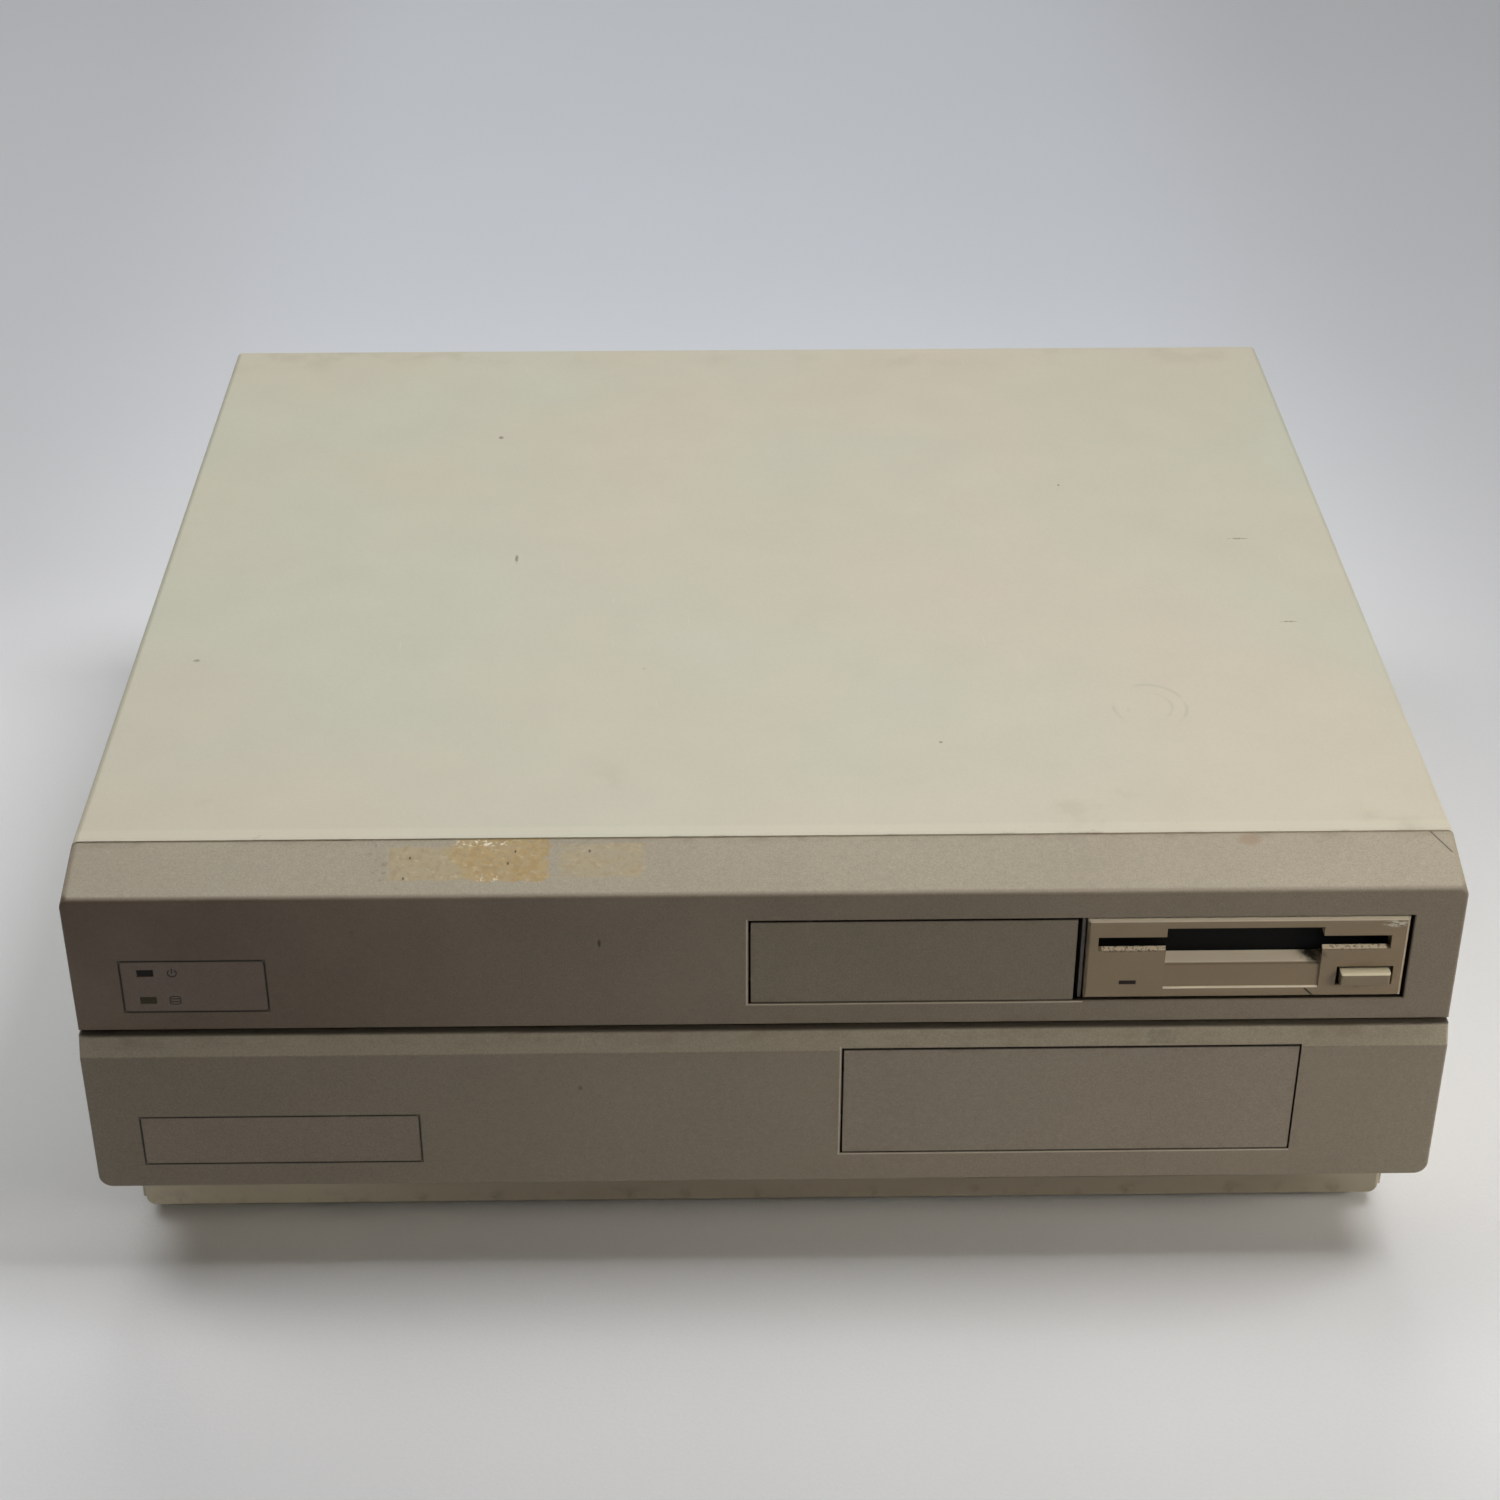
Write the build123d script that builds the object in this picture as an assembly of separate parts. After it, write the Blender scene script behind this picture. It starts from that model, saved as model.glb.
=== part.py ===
from build123d import *
import os
from math import atan2, cos, degrees, radians, sin, tan

# Desktop home computer of the big-box kind: steel cover and base pan, two-tier moulded fascia, floppy drive,
# hard disk, power supply and main board with expansion slots.
# Frame: X to the right seen from the front, Y towards the back, Z up. The origin is on the table, at the
# middle of the width and depth. Millimetres.

os.makedirs("parts", exist_ok=True)

# ---- clearances ------------------------------------------------------------------------------------------
slip = 0.3               # between pieces that move or are put in from outside
running = 0.06           # radial, shaft in its bearing
screw_play = 0.05        # radial, screw in its hole

# ---- screws ----------------------------------------------------------------------------------------------
screw_radius = 1.5
screw_head_radius = 2.8
screw_head_height = 1.6
screw_slot = 0.7         # width of the cross in the head
screw_length = 6.0

# ---- casing ----------------------------------------------------------------------------------------------
overall_depth = 405.6    # lower face of the fascia to the head of the cover's rear screw
feet_height = 5.0
plinth_height = 30.0
sheet = 1.2
fascia_width = 440.0
cover_inset = 0.3        # cover's sides stand back from the fascia's
plinth_side_inset = 8.0  # plinth's sides stand back from the fascia's ends
plinth_setback = 25.0    # plinth's front wall behind the fascia's lower face
plinth_bend = 3.2
cover_bend = 2.6
cover_skirt_lift = 2.2   # lower edge of the cover's skirt above the underside of the pan
cover_lip = 10.0         # height of the lip at the cover's rear edge
rear_recess = 8.0        # rear wall inside the cover's rear edge
flange = 11.0            # turned-in flanges of the pan, shield and rear panel
foot_radius = 9.0
foot_inset = 32.0
foot_screw_inset = 17.0      # outer screws of the shield's foot from the pan's sides

# ---- fascia ----------------------------------------------------------------------------------------------
fascia_wall = 2.6
fascia_edge = 1.0        # rounding of its edges
lower_bevel_rise = 6.9
lower_bevel_run = 2.7
tier_step = 3.6          # upper face behind the lower face
groove_height = 1.5
groove_depth = 3.2
top_bevel_rise = 6.0
top_bevel_run = 24.0
cover_step = 0.5         # cover's top above the fascia's rear edge
bottom_corner = 4.5
top_corner = 3.0         # rounding of the top bevel's sides
sleeve_depth = 12.0      # tunnels behind the bay openings, from the face
sleeve_wall = 1.8
post_radius = 3.6            # screw posts inside the fascia
post_inset = 32.0            # outer posts from the fascia's ends
post_sink = 0.8              # lower posts sunk into its floor

# ---- bays ------------------------------------------------------------------------------------------------
bay_margin = 15.9            # small opening from the fascia's right end
small_bay_sill = 8.6         # upper face below the small opening
small_bay_head = 9.8         # upper face above it
large_bay_shift = 0.7        # middle of the large opening to the left of the small one's
large_opening_width = 148.2
large_opening_low = 11.7     # above the fascia's underside
large_opening_height = 43.1
large_opening_overlap = 1.0  # the large opening reaches this far into the bevel
opening_chamfer = 0.4
bezel_gap = 0.75             # above and below the floppy drive's bezel
bezel_side_gap = 1.2         # bezel to the opening's right side
bezel_divider_gap = 0.6      # bezel to the cage's divider
blank_gap = 0.4              # above and below a blank
blank_side_gap = 0.7
blank_wall = 2.0
blank_depth = 9.0
blank_over_disk = 1.2        # small blank wider than the hard disk behind it
divider_gap = 1.7            # between the small blank and the cage's divider
divider_setback = 1.5        # divider's front edge behind the upper face

# ---- indicator panel and name plate ----------------------------------------------------------------------
panel_inset = 38.9           # its middle from the fascia's left end
panel_width = 45.6
panel_height = 19.6
panel_sill = 7.6             # upper face below the panel
panel_corner = 1.5
inlay_depth = 1.4
inlay_gap = 0.25
light_offset = -15.0         # from the panel's middle
light_width = 5.0
light_height = 2.4
light_length = 12.0
upper_light_rise = 15.1      # above the panel's lower edge
lower_light_rise = 4.5
plate_inset = 61.8           # its middle from the fascia's left end
plate_width = 90.4
plate_height = 19.2
plate_low = 10.0             # above the fascia's underside

# ---- main board and what stands on it --------------------------------------------------------------------
board_thickness = 1.6
board_side_gap = 12.0        # board's sides to the pan's
board_edge_gap = 3.0         # board's edge to the pan's front and rear walls
standoff_height = 6.0
standoff_radius = 3.0
standoff_margin = 5.5         # posts from the board's sides
standoff_front = 11.0         # front row from the board's front edge
standoff_rear = 26.0
standoff_columns = 4
standoff_rows = 3
socket_height = 4.0
socket_wall = 1.6
chip_height = 3.6
chip_notch = 1.4
processor_size = (81.0, 22.9)
custom_chip_size = (61.0, 15.5)
memory_chip_size = (20.0, 7.6)
store_chip_size = (52.0, 15.5)
memory_inset = 24.0          # first memory chip from the board's left side
memory_setback = 23.6        # from the board's front edge
memory_pitch = (24.0, 22.0)
processor_setback = 113.6
chip_header_gap = 2.25       # custom chips' row behind the floppy ribbon's header
store_chip_setback = 233.6
logic_chip_setback = 283.6
logic_chip_pitch = 27.0
chip_connector_gap = 9.92    # first large chips beside the last expansion connector
custom_chip_pitch = 65.0
store_chip_pitch = 66.0
last_chip_inset = 40.0       # middle of the last large chip from the board's right side
chip_plug_gap = 8.5          # power plug beside the second large chip
capacitor_radius = 5.0
capacitor_height = 13.0
capacitor_setback = 63.6

# ---- expansion slots -------------------------------------------------------------------------------------
slot_count = 7
slot_pitch = 20.32
first_slot_inset = 34.0      # from the fascia's left end
slot_opening_width = 12.7
slot_opening_rise = 13.0     # above the pan
slot_ledge_drop = 12.0       # ledge that carries the slot covers' ears, below the cover
slot_cover_width = 18.4
slot_cover_sheet = 0.9
slot_connector_count = 5
slot_connector_width = 8.6
slot_connector_height = 15.0
slot_connector_length = 130.0
slot_groove = 2.0
slot_groove_depth = 8.0
slot_connector_setback = 217.0   # its front from the board's rear edge
rear_connector_count = 4
rear_connector_length = 84.0
rear_connector_gap = 6.0

# ---- controller card -------------------------------------------------------------------------------------
card_slot = 4                # counted from the left, from 0
card_thickness = 1.6
card_length = 190.0
card_height = 100.0
card_tongue_play = 0.3

# ---- ports -----------------------------------------------------------------------------------------------
port_flange_height = 12.5
port_flange_thickness = 1.0
port_shell_height = 8.3
port_shell_wall = 0.5
port_shell_reach = 6.0       # shell beyond its flange
port_body_depth = 11.0
port_slant = 10.0            # degrees, sides of the D shape
port_pitch = 2.77
port_row_gap = 2.84
port_pin_radius = 0.5
jackscrew_radius = 2.5
jackscrew_bore = 1.3
jackscrew_reach = 5.0
serial_share = 0.283         # rear ports spread over the plinth, as shares of its half width
parallel_share = -0.0943
drive_port_share = -0.434
video_share = -0.7453
audio_share = 0.5566
audio_pitch = 16.0
jack_radius = 4.15
jack_boss_radius = 5.6       # in the pan's wall, behind the barrel
jack_reach = 7.4
jack_bore = 1.6
keyboard_inset = 44.0        # from the fascia's right end
keyboard_bore = 7.0
keyboard_bore_depth = 8.0
keyboard_body = 20.0
controller_inset = 88.0      # right port from the fascia's right end
controller_pitch = 44.0
port_recess_depth = 2.8      # the pan's front wall is pressed in around them
port_recess_half = 18.0

# ---- drive cage ------------------------------------------------------------------------------------------
cage_sheet = 1.0
cage_lift = 11.0             # top of the cage's floor above the pan
cage_left_margin = 3.0       # cage's sides beyond the small opening
cage_right_margin = 2.4
cage_headroom = 4.0          # below the cover
shelf_gap = 0.5              # shelf below the small drives' bezels
shelf_length = 150.0
cable_port_parts = (1, 4, 2)  # clear floor, port and clear floor, from the shelf to the supply

# ---- floppy drive ----------------------------------------------------------------------------------------
bezel_width = 101.6
bezel_height = 30.6
bezel_thickness = 5.0
bezel_chamfer = 0.8
slot_offset = -0.8
disk_slot_margin = 4.4       # bezel beside the slot
disk_slot_low = 19.6         # above the bezel's underside
disk_slot_height = 4.3
disk_slot_lip = 1.4          # thickness of the bezel's front under the slot
grip_width = 49.7
grip_low = 4.2
grip_top = 27.2
grip_face = 12.4             # top of the grip's upright face
grip_ledge = 15.4            # back of the ledge above it
button_inset = 12.4          # its middle from the bezel's right end
button_width = 15.7
button_height = 4.7
button_low = 5.9
button_reach = 2.5           # stands out of the bezel's face
button_well_depth = 2.5
button_well_margin = 1.2
drive_light_inset = 13.8     # its middle from the bezel's left end
drive_light_low = 6.3
drive_light_width = 5.4
drive_light_height = 1.4
drive_length = 144.0
drive_side_step = 0.3        # drive's sides inside the bezel's
drive_wall = 1.5
drive_height = 27.5
lid_sheet = 0.6
flap_thickness = 1.0
flap_margin = 0.8            # flap beyond the slot, each side and below
flap_pin_radius = 0.7
cradle_sheet = 0.8
cradle_play = 1.0            # channel inside the slot's sides
cradle_inner_height = 4.6
cradle_length = 92.0
cradle_lift = 2.5
cradle_pin_radius = 1.0      # its four pins run in upright slots of the tray
cradle_pin_inset = 16.0      # pins from the cradle's ends
hub_radius = 12.0
hub_motor_radius = 24.0
hub_motor_height = 5.0
hub_shaft_radius = 2.0
spindle_setback = 56.0       # hub's axis behind the bezel's back
stepper_radius = 9.0
stepper_length = 13.0
lead_screw_radius = 1.5
lead_screw_spare = 9.0       # screw beyond the carriage and its travel
lead_offset = 22.0           # lead screw beside the drive's middle
head_travel = 15.0
carriage_width = 40.0
carriage_length = 14.0

# ---- hard disk -------------------------------------------------------------------------------------------
disk_drive_width = 101.6
disk_drive_length = 146.0
disk_drive_height = 25.4
disk_drive_wall = 2.2
disk_floor = 5.0
disk_setback = 16.0          # its front behind the fascia's upper face
platter_play = 1.1           # platters' rim to the casting's wall
platter_thickness = 1.3
platter_gap = 6.0
platter_hub_radius = 12.5
platter_post_radius = 5.0
platter_front_play = 2.3
arm_offset_x = 28.0          # arm's pivot from the platters' axis
arm_offset_y = 52.0
arm_length = 47.0
arm_width = 7.0
arm_thickness = 2.0
arm_post_radius = 3.0
arm_rest = 19.0              # degrees from the line to the platters' axis

# ---- power supply ----------------------------------------------------------------------------------------
supply_sheet = 1.0
supply_width = 165.5
supply_length = 146.0
supply_headroom = 2.0        # below the cage's top
vent_count = 9
vent_pitch = 12.0
vent_width = 4.0
vent_inset = 20.0
vent_low = 30.0
vent_high = 75.0
transformer_size = (38.0, 34.0, 34.0)
choke_size = (24.0, 28.0, 24.0)
big_capacitor_radius = 12.0
big_capacitor_height = 40.0
heat_sink_sheet = 2.5
heat_sink_length = 80.0
heat_sink_height = 55.0
fin_count = 8
fin_pitch = 10.0
fin_sheet = 1.5
fin_reach = 6.0
heat_sink_insets = (50.0, 116.0)  # from the supply's left side
heat_sink_setback = 12.0     # from its front wall
supply_board_lift = 5.0
fan_size = 80.0
fan_depth = 25.0
fan_bore = 38.0
fan_inset = 52.0             # its axis from the supply's left side
fan_hub_radius = 17.0
fan_blade_count = 7
fan_blade_thickness = 1.4
fan_blade_pitch = 38.0       # degrees
fan_tip_gap = 1.0
fan_shaft_radius = 1.5
fan_screw_pitch = 71.5
guard_wire = 0.9             # radius
guard_ring_count = 4
guard_eye = 1.2              # thickness of its eyes
guard_eye_rim = 1.5          # beyond the screw's head
inlet_inset = 37.5           # its middle from the supply's right side
inlet_rise = 29.0            # above the cage's floor
inlet_width = 24.4
inlet_height = 16.6
inlet_depth = 16.0
inlet_flange_width = 48.0
inlet_flange_height = 23.0
inlet_wall = 1.6
switch_rise = 72.0
switch_width = 22.0
switch_height = 30.0
switch_depth = 18.0
switch_rim = 2.0
rocker_tilt = 11.0           # degrees each way
rocker_pin_radius = 1.5

# ---- cables ----------------------------------------------------------------------------------------------
loom_radius = 3.5
loom_bend = 5.0
loom_sink = 0.5              # into the plug
loom_inset = 22.0            # where it leaves the supply, from its left side and above the cage's floor
loom_port_gap = 6.0          # in front of the port's rear edge
power_plug_half = 18.0
power_plug_depth = 10.0
power_plug_height = 12.5
ribbon_thickness = 1.2
ribbon_bend = 9.0
ribbon_header_height = 9.0
ribbon_header_half = 4.0
floppy_ribbon_width = 26.0
floppy_board_width = 30.0
floppy_board_length = 58.0
floppy_board_gap = 2.0       # behind the board
floppy_header_size = (27.0, 9.0, 8.0)
floppy_chip_size = (20.0, 12.0, 3.0)

# ---- places worked out from the sizes --------------------------------------------------------------------
half_width = fascia_width / 2
lower_face_height = large_opening_low + large_opening_height - large_opening_overlap
lower_tier_height = lower_face_height + lower_bevel_rise
small_opening_low = lower_tier_height + groove_height + small_bay_sill
small_opening_height = bezel_height + 2 * bezel_gap
upper_face_top = small_opening_low + small_opening_height + small_bay_head
body_height = upper_face_top + top_bevel_rise + cover_step
front_y = -overall_depth / 2
rear_y = overall_depth / 2 - screw_head_height
upper_face_y = front_y + tier_step
fascia_back_y = upper_face_y + top_bevel_run
pan_z = feet_height
pan_floor_z = pan_z + sheet
skirt_z = pan_z + plinth_height
top_z = skirt_z + body_height
cover_x = half_width - cover_inset
cover_inner_z = top_z - sheet
plinth_x = half_width - plinth_side_inset
plinth_front_y = front_y + plinth_setback
plinth_rear_y = rear_y - rear_recess
rear_wall_y = plinth_rear_y - sheet
pan_top_z = skirt_z - slip
board_width = 2 * (plinth_x - board_side_gap)
board_z = pan_floor_z + standoff_height
board_top_z = board_z + board_thickness
board_front_y = plinth_front_y + sheet + board_edge_gap
board_rear_y = rear_wall_y - board_edge_gap
shield_y = fascia_back_y + sheet

small_blank_width = disk_drive_width + blank_over_disk
divider_place = blank_side_gap + small_blank_width + divider_gap
small_opening_width = (divider_place + cage_sheet + bezel_divider_gap + bezel_width + bezel_side_gap)
small_right_x = half_width - bay_margin
small_left_x = small_right_x - small_opening_width
small_opening_x = (small_left_x + small_right_x) / 2
large_opening_x = small_opening_x - large_bay_shift
small_low_z = skirt_z + small_opening_low
large_low_z = skirt_z + large_opening_low
panel_x = -half_width + panel_inset
panel_low = lower_tier_height + groove_height + panel_sill
light_x = panel_x + light_offset
upper_light_z = panel_low + upper_light_rise
lower_light_z = panel_low + lower_light_rise
plate_x = -half_width + plate_inset

slot_opening_low = skirt_z + slot_opening_rise
slot_ledge_height = cover_inner_z - slot_ledge_drop
first_slot_x = -half_width + first_slot_inset
slot_connector_front = board_rear_y - slot_connector_setback
last_connector_x = first_slot_x + (slot_connector_count - 1) * slot_pitch
first_chip_x = last_connector_x + slot_connector_width / 2 + chip_connector_gap + custom_chip_size[0] / 2
second_chip_x = first_chip_x + custom_chip_pitch
port_z = board_top_z + port_flange_height / 2
serial_x = serial_share * plinth_x
parallel_x = parallel_share * plinth_x
drive_port_x = drive_port_share * plinth_x
video_x = video_share * plinth_x
audio_x = audio_share * plinth_x
keyboard_x = half_width - keyboard_inset
controller_x = half_width - controller_inset
controller_wall_y = plinth_front_y + port_recess_depth + sheet

cage_floor = skirt_z + cage_lift
cage_left = small_left_x - cage_left_margin
cage_right = small_right_x + cage_right_margin
cage_top = cover_inner_z - cage_headroom
divider_left_x = small_left_x + divider_place

bezel_x = small_right_x - bezel_side_gap - bezel_width / 2
bezel_low_z = small_low_z + bezel_gap
bezel_back_y = upper_face_y + bezel_thickness
shelf_z = bezel_low_z - shelf_gap
slot_x = bezel_x + slot_offset
disk_slot_width = bezel_width - 2 * disk_slot_margin
disk_slot_z = bezel_low_z + disk_slot_low
disk_slot_top_z = disk_slot_z + disk_slot_height
button_offset = bezel_width / 2 - button_inset
drive_light_offset = drive_light_inset - bezel_width / 2
drive_width = bezel_width - 2 * drive_side_step
cradle_inner_width = disk_slot_width - 2 * cradle_play
spindle_y = bezel_back_y + spindle_setback
lead_screw_length = carriage_length + head_travel + lead_screw_spare

platter_radius = disk_drive_width / 2 - disk_drive_wall - platter_play
platter_front = disk_drive_wall + platter_front_play + platter_radius

supply_height = cage_top - supply_headroom - cage_floor
supply_right = cage_right - cage_sheet
supply_left = supply_right - supply_width
supply_front_y = rear_wall_y - supply_length
cable_space = supply_front_y - shield_y - shelf_length
cable_port_front = shield_y + shelf_length + cable_space * cable_port_parts[0] / sum(cable_port_parts)
cable_port_length = cable_space * cable_port_parts[1] / sum(cable_port_parts)
cable_port_middle = cable_port_front + cable_port_length / 2
custom_chip_y = cable_port_middle + ribbon_header_half + chip_header_gap + custom_chip_size[1] / 2
supply_part_z = cage_floor + supply_sheet + supply_board_lift + board_thickness
fan_x = supply_left + fan_inset
fan_z = cage_floor + supply_height / 2
inlet_x = supply_right - inlet_inset
inlet_z = cage_floor + inlet_rise
switch_x = inlet_x
switch_z = cage_floor + switch_rise


# ---- shapes ----------------------------------------------------------------------------------------------
def block(x0, x1, y0, y1, z0, z1):
    """Box between two corners."""
    return Pos((x0 + x1) / 2, (y0 + y1) / 2, (z0 + z1) / 2) * Box(x1 - x0, y1 - y0, z1 - z0)


def rod_x(y, z, x0, x1, radius):
    """Round bar along X."""
    return Pos((x0 + x1) / 2, y, z) * (Rot(0, 90, 0) * Cylinder(radius, x1 - x0))


def rod_y(x, z, y0, y1, radius):
    """Round bar along Y."""
    return Pos(x, (y0 + y1) / 2, z) * (Rot(90, 0, 0) * Cylinder(radius, y1 - y0))


def rod_z(x, y, z0, z1, radius):
    """Round bar along Z."""
    return Pos(x, y, (z0 + z1) / 2) * Cylinder(radius, z1 - z0)


def prism_x(points, x0, x1):
    """Solid with a (y, z) outline, running along X."""
    outline = make_face(Polyline(*[(x0, y, z) for y, z in points], close=True))
    return extrude(outline, amount=x1 - x0, dir=(1, 0, 0))


def prism_y(points, y0, y1):
    """Solid with an (x, z) outline, running along Y."""
    outline = make_face(Polyline(*[(x, y0, z) for x, z in points], close=True))
    return extrude(outline, amount=y1 - y0, dir=(0, 1, 0))


def tile(x, z, width, height, y0, y1, corner):
    """Upright plate with rounded corners, facing along Y."""
    plate = block(x - width / 2, x + width / 2, y0, y1, z - height / 2, z + height / 2)
    return fillet(plate.edges().filter_by(Axis.Y), corner)


def group(shapes):
    """Several separate solids kept together."""
    return Compound([solid for shape in shapes for solid in shape.solids()])


def save(name, shape):
    export_step(shape, "parts/" + name + ".step")


def screw():
    """Pan-head screw, head above the origin and shank along -Z."""
    head = Pos(0, 0, screw_head_height / 2) * Cylinder(screw_head_radius, screw_head_height)
    head = fillet(head.edges().group_by(Axis.Z)[-1], screw_head_height / 2)
    cross = Box(screw_head_radius * 1.3, screw_slot, screw_head_height)
    cross += Box(screw_slot, screw_head_radius * 1.3, screw_head_height)
    shank = Pos(0, 0, -screw_length / 2) * Cylinder(screw_radius, screw_length)
    return head - Pos(0, 0, screw_head_height) * cross + shank


def screws_at(places, turn):
    """Screws at a list of (x, y, z), each turned the same way."""
    one = screw()
    return [Pos(*place) * turn * one for place in places]


head_up = Rot(0, 0, 0)
head_back = Rot(-90, 0, 0)
head_left = Rot(0, -90, 0)
head_right = Rot(0, 90, 0)
hole_radius = screw_radius + screw_play


# ---- places of screws and posts --------------------------------------------------------------------------
def fascia_posts():
    """(x, z) of the posts that the fascia is screwed on by."""
    side = fascia_width / 2 - post_inset
    top = skirt_z + upper_face_top - 2 * post_radius
    bottom = skirt_z + fascia_wall + post_radius - post_sink
    middle = (small_left_x - side) / 2
    return [(x, z) for x in (-side, middle) for z in (bottom, top)] + [(side, bottom)]


def foot_screw_xs():
    """x of the screws that hold the shield and the rear panel down."""
    side = plinth_x - foot_screw_inset
    return [-side, -side / 3, side / 3, side]


def shield_feet():
    """(x, y) of the screws through the front shield's foot."""
    return [(x, fascia_back_y + sheet + flange / 2) for x in foot_screw_xs()]


def panel_feet():
    """(x, y) of the screws through the rear panel's foot."""
    return [(x, rear_wall_y - flange / 2) for x in foot_screw_xs()]


def cover_side_places():
    """(y, z) of the screws through each side skirt of the cover."""
    mid_z = pan_z + plinth_height / 2
    return [(fascia_back_y + 60, mid_z), (rear_y - 60, mid_z)]


def standoff_places():
    """(x, y) of the posts under the main board."""
    places = []
    for column in range(standoff_columns):
        for row in range(standoff_rows):
            across = column / (standoff_columns - 1) - 0.5
            along = row / (standoff_rows - 1)
            x = across * (board_width - 2 * standoff_margin)
            span = board_rear_y - standoff_rear - board_front_y - standoff_front
            places.append((x, board_front_y + standoff_front + along * span))
    return places


def slot_places():
    """x of each expansion slot."""
    return [first_slot_x + slot_pitch * index for index in range(slot_count)]


def cage_front_screws():
    """(x, z) of the screws that join the cage's front flanges to the shield."""
    left = cage_left + cage_sheet + flange / 2
    right = cage_right - cage_sheet - flange / 2
    return [(x, z) for x in (left, right) for z in (cage_floor + flange, small_low_z - 2 * flange)]


# ---- casing ----------------------------------------------------------------------------------------------
def make_top_cover():
    """Sheet wrapped over the top and sides, stepped in at the plinth, with a lip at the back."""
    skirt_x = plinth_x + slip / 3 + sheet
    low = pan_z + cover_skirt_lift
    outer = block(-cover_x, cover_x, fascia_back_y, rear_y, skirt_z, top_z)
    outer = fillet(outer.edges().filter_by(Axis.Y).group_by(Axis.Z)[-1], cover_bend)
    outer += block(-skirt_x, skirt_x, fascia_back_y, rear_y, low, skirt_z + 2 * sheet)
    inner = block(-cover_x + sheet, cover_x - sheet, front_y, rear_y - sheet, skirt_z + sheet, cover_inner_z)
    inner = fillet(inner.edges().filter_by(Axis.Y).group_by(Axis.Z)[-1], cover_bend - sheet)
    inner += block(-skirt_x + sheet, skirt_x - sheet, front_y, rear_y + sheet, 0, skirt_z + 3 * sheet)
    window = block(-cover_x + sheet + cover_lip, cover_x - sheet - cover_lip, rear_y - 2 * sheet,
                   rear_y + sheet, 0, cover_inner_z - cover_lip)
    cover = outer - inner - window
    cover -= rod_y(0, cover_inner_z - cover_lip / 2, rear_y - 2 * sheet, rear_y + sheet, hole_radius)
    for y, z in cover_side_places():
        cover -= rod_x(y, z, -cover_x, cover_x, hole_radius)
    return cover


def make_base_pan():
    """Folded steel tray with the socket openings in its front and rear walls."""
    outer = block(-plinth_x, plinth_x, plinth_front_y, plinth_rear_y, pan_z, pan_top_z)
    outer = fillet(outer.edges().filter_by(Axis.Y).group_by(Axis.Z)[0], plinth_bend)
    outer = fillet(outer.edges().filter_by(Axis.X).group_by(Axis.Z)[0], sheet)
    inner = block(-plinth_x + sheet, plinth_x - sheet, plinth_front_y + sheet, rear_wall_y,
                  pan_floor_z, top_z)
    inner = fillet(inner.edges().filter_by(Axis.Y).group_by(Axis.Z)[0], plinth_bend - sheet)
    pan = outer - inner
    front_flange = block(-plinth_x + 2 * sheet, plinth_x - 2 * sheet, plinth_front_y + sheet / 2,
                         fascia_back_y + sheet + flange, pan_top_z - sheet, pan_top_z)
    rear_flange = block(-plinth_x + 2 * sheet, plinth_x - 2 * sheet, rear_wall_y - flange,
                        rear_wall_y + sheet / 2, pan_top_z - sheet, pan_top_z)
    pan += front_flange + rear_flange
    pan += port_recess(sheet, plinth_front_y + sheet / 2, controller_wall_y)
    pan -= port_recess(0, plinth_front_y - 1, plinth_front_y + port_recess_depth)
    for x, y in shield_feet() + panel_feet():
        pan -= rod_z(x, y, pan_top_z - 2 * sheet, pan_top_z + sheet, hole_radius)
    for y, z in cover_side_places():
        pan -= rod_x(y, z, -plinth_x - sheet, plinth_x + sheet, hole_radius)
    for x, y in foot_places():
        pan -= rod_z(x, y, 0, pan_floor_z + sheet, hole_radius + slip)
    for x, y in standoff_places():
        pan -= rod_z(x, y, 0, pan_floor_z + sheet, hole_radius)
    for x, pins in d_ports():
        pan -= d_prism(pins, screw_play, plinth_rear_y - 3 * sheet, plinth_rear_y + sheet, x)
        for side in (-1, 1):
            pan -= rod_y(x + side * jackscrew_span(pins) / 2, port_z, plinth_rear_y - 3 * sheet,
                         plinth_rear_y + sheet, hole_radius)
    for index in range(3):
        pan -= rod_y(audio_x + index * audio_pitch, port_z, plinth_rear_y - 3 * sheet,
                     plinth_rear_y + sheet, jack_boss_radius + screw_play)
    for index in range(2):
        x = controller_x - index * controller_pitch
        pan -= d_prism(9, screw_play, plinth_front_y, controller_wall_y + 1, x)
    pan -= rod_y(keyboard_x, keyboard_z(), plinth_front_y - sheet, plinth_front_y + 3 * sheet,
                 keyboard_bore + sheet)
    return pan


def port_recess(grow, y0, y1):
    """Shallow pocket in the pan's front wall that the controller ports stand in."""
    return block(controller_x - controller_pitch - port_recess_half - grow,
                 controller_x + port_recess_half + grow,
                 y0, y1, board_top_z - grow, port_z + port_flange_height / 2 + sheet + grow)


def foot_places():
    """(x, y) of the four feet."""
    x = plinth_x - foot_inset
    return [(i * x, y) for i in (-1, 1) for y in (plinth_front_y + foot_inset, plinth_rear_y - foot_inset)]


def make_rubber_feet():
    """Round feet with a plug through the pan's floor."""
    feet = []
    for x, y in foot_places():
        foot = Pos(x, y, 0) * Cone(foot_radius * 0.88, foot_radius, feet_height,
                                   align=(Align.CENTER, Align.CENTER, Align.MIN))
        foot = fillet(foot.edges().group_by(Axis.Z)[0], sheet)
        feet.append(foot + rod_z(x, y, feet_height / 2, pan_floor_z + sheet, screw_radius))
    return group(feet)


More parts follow.
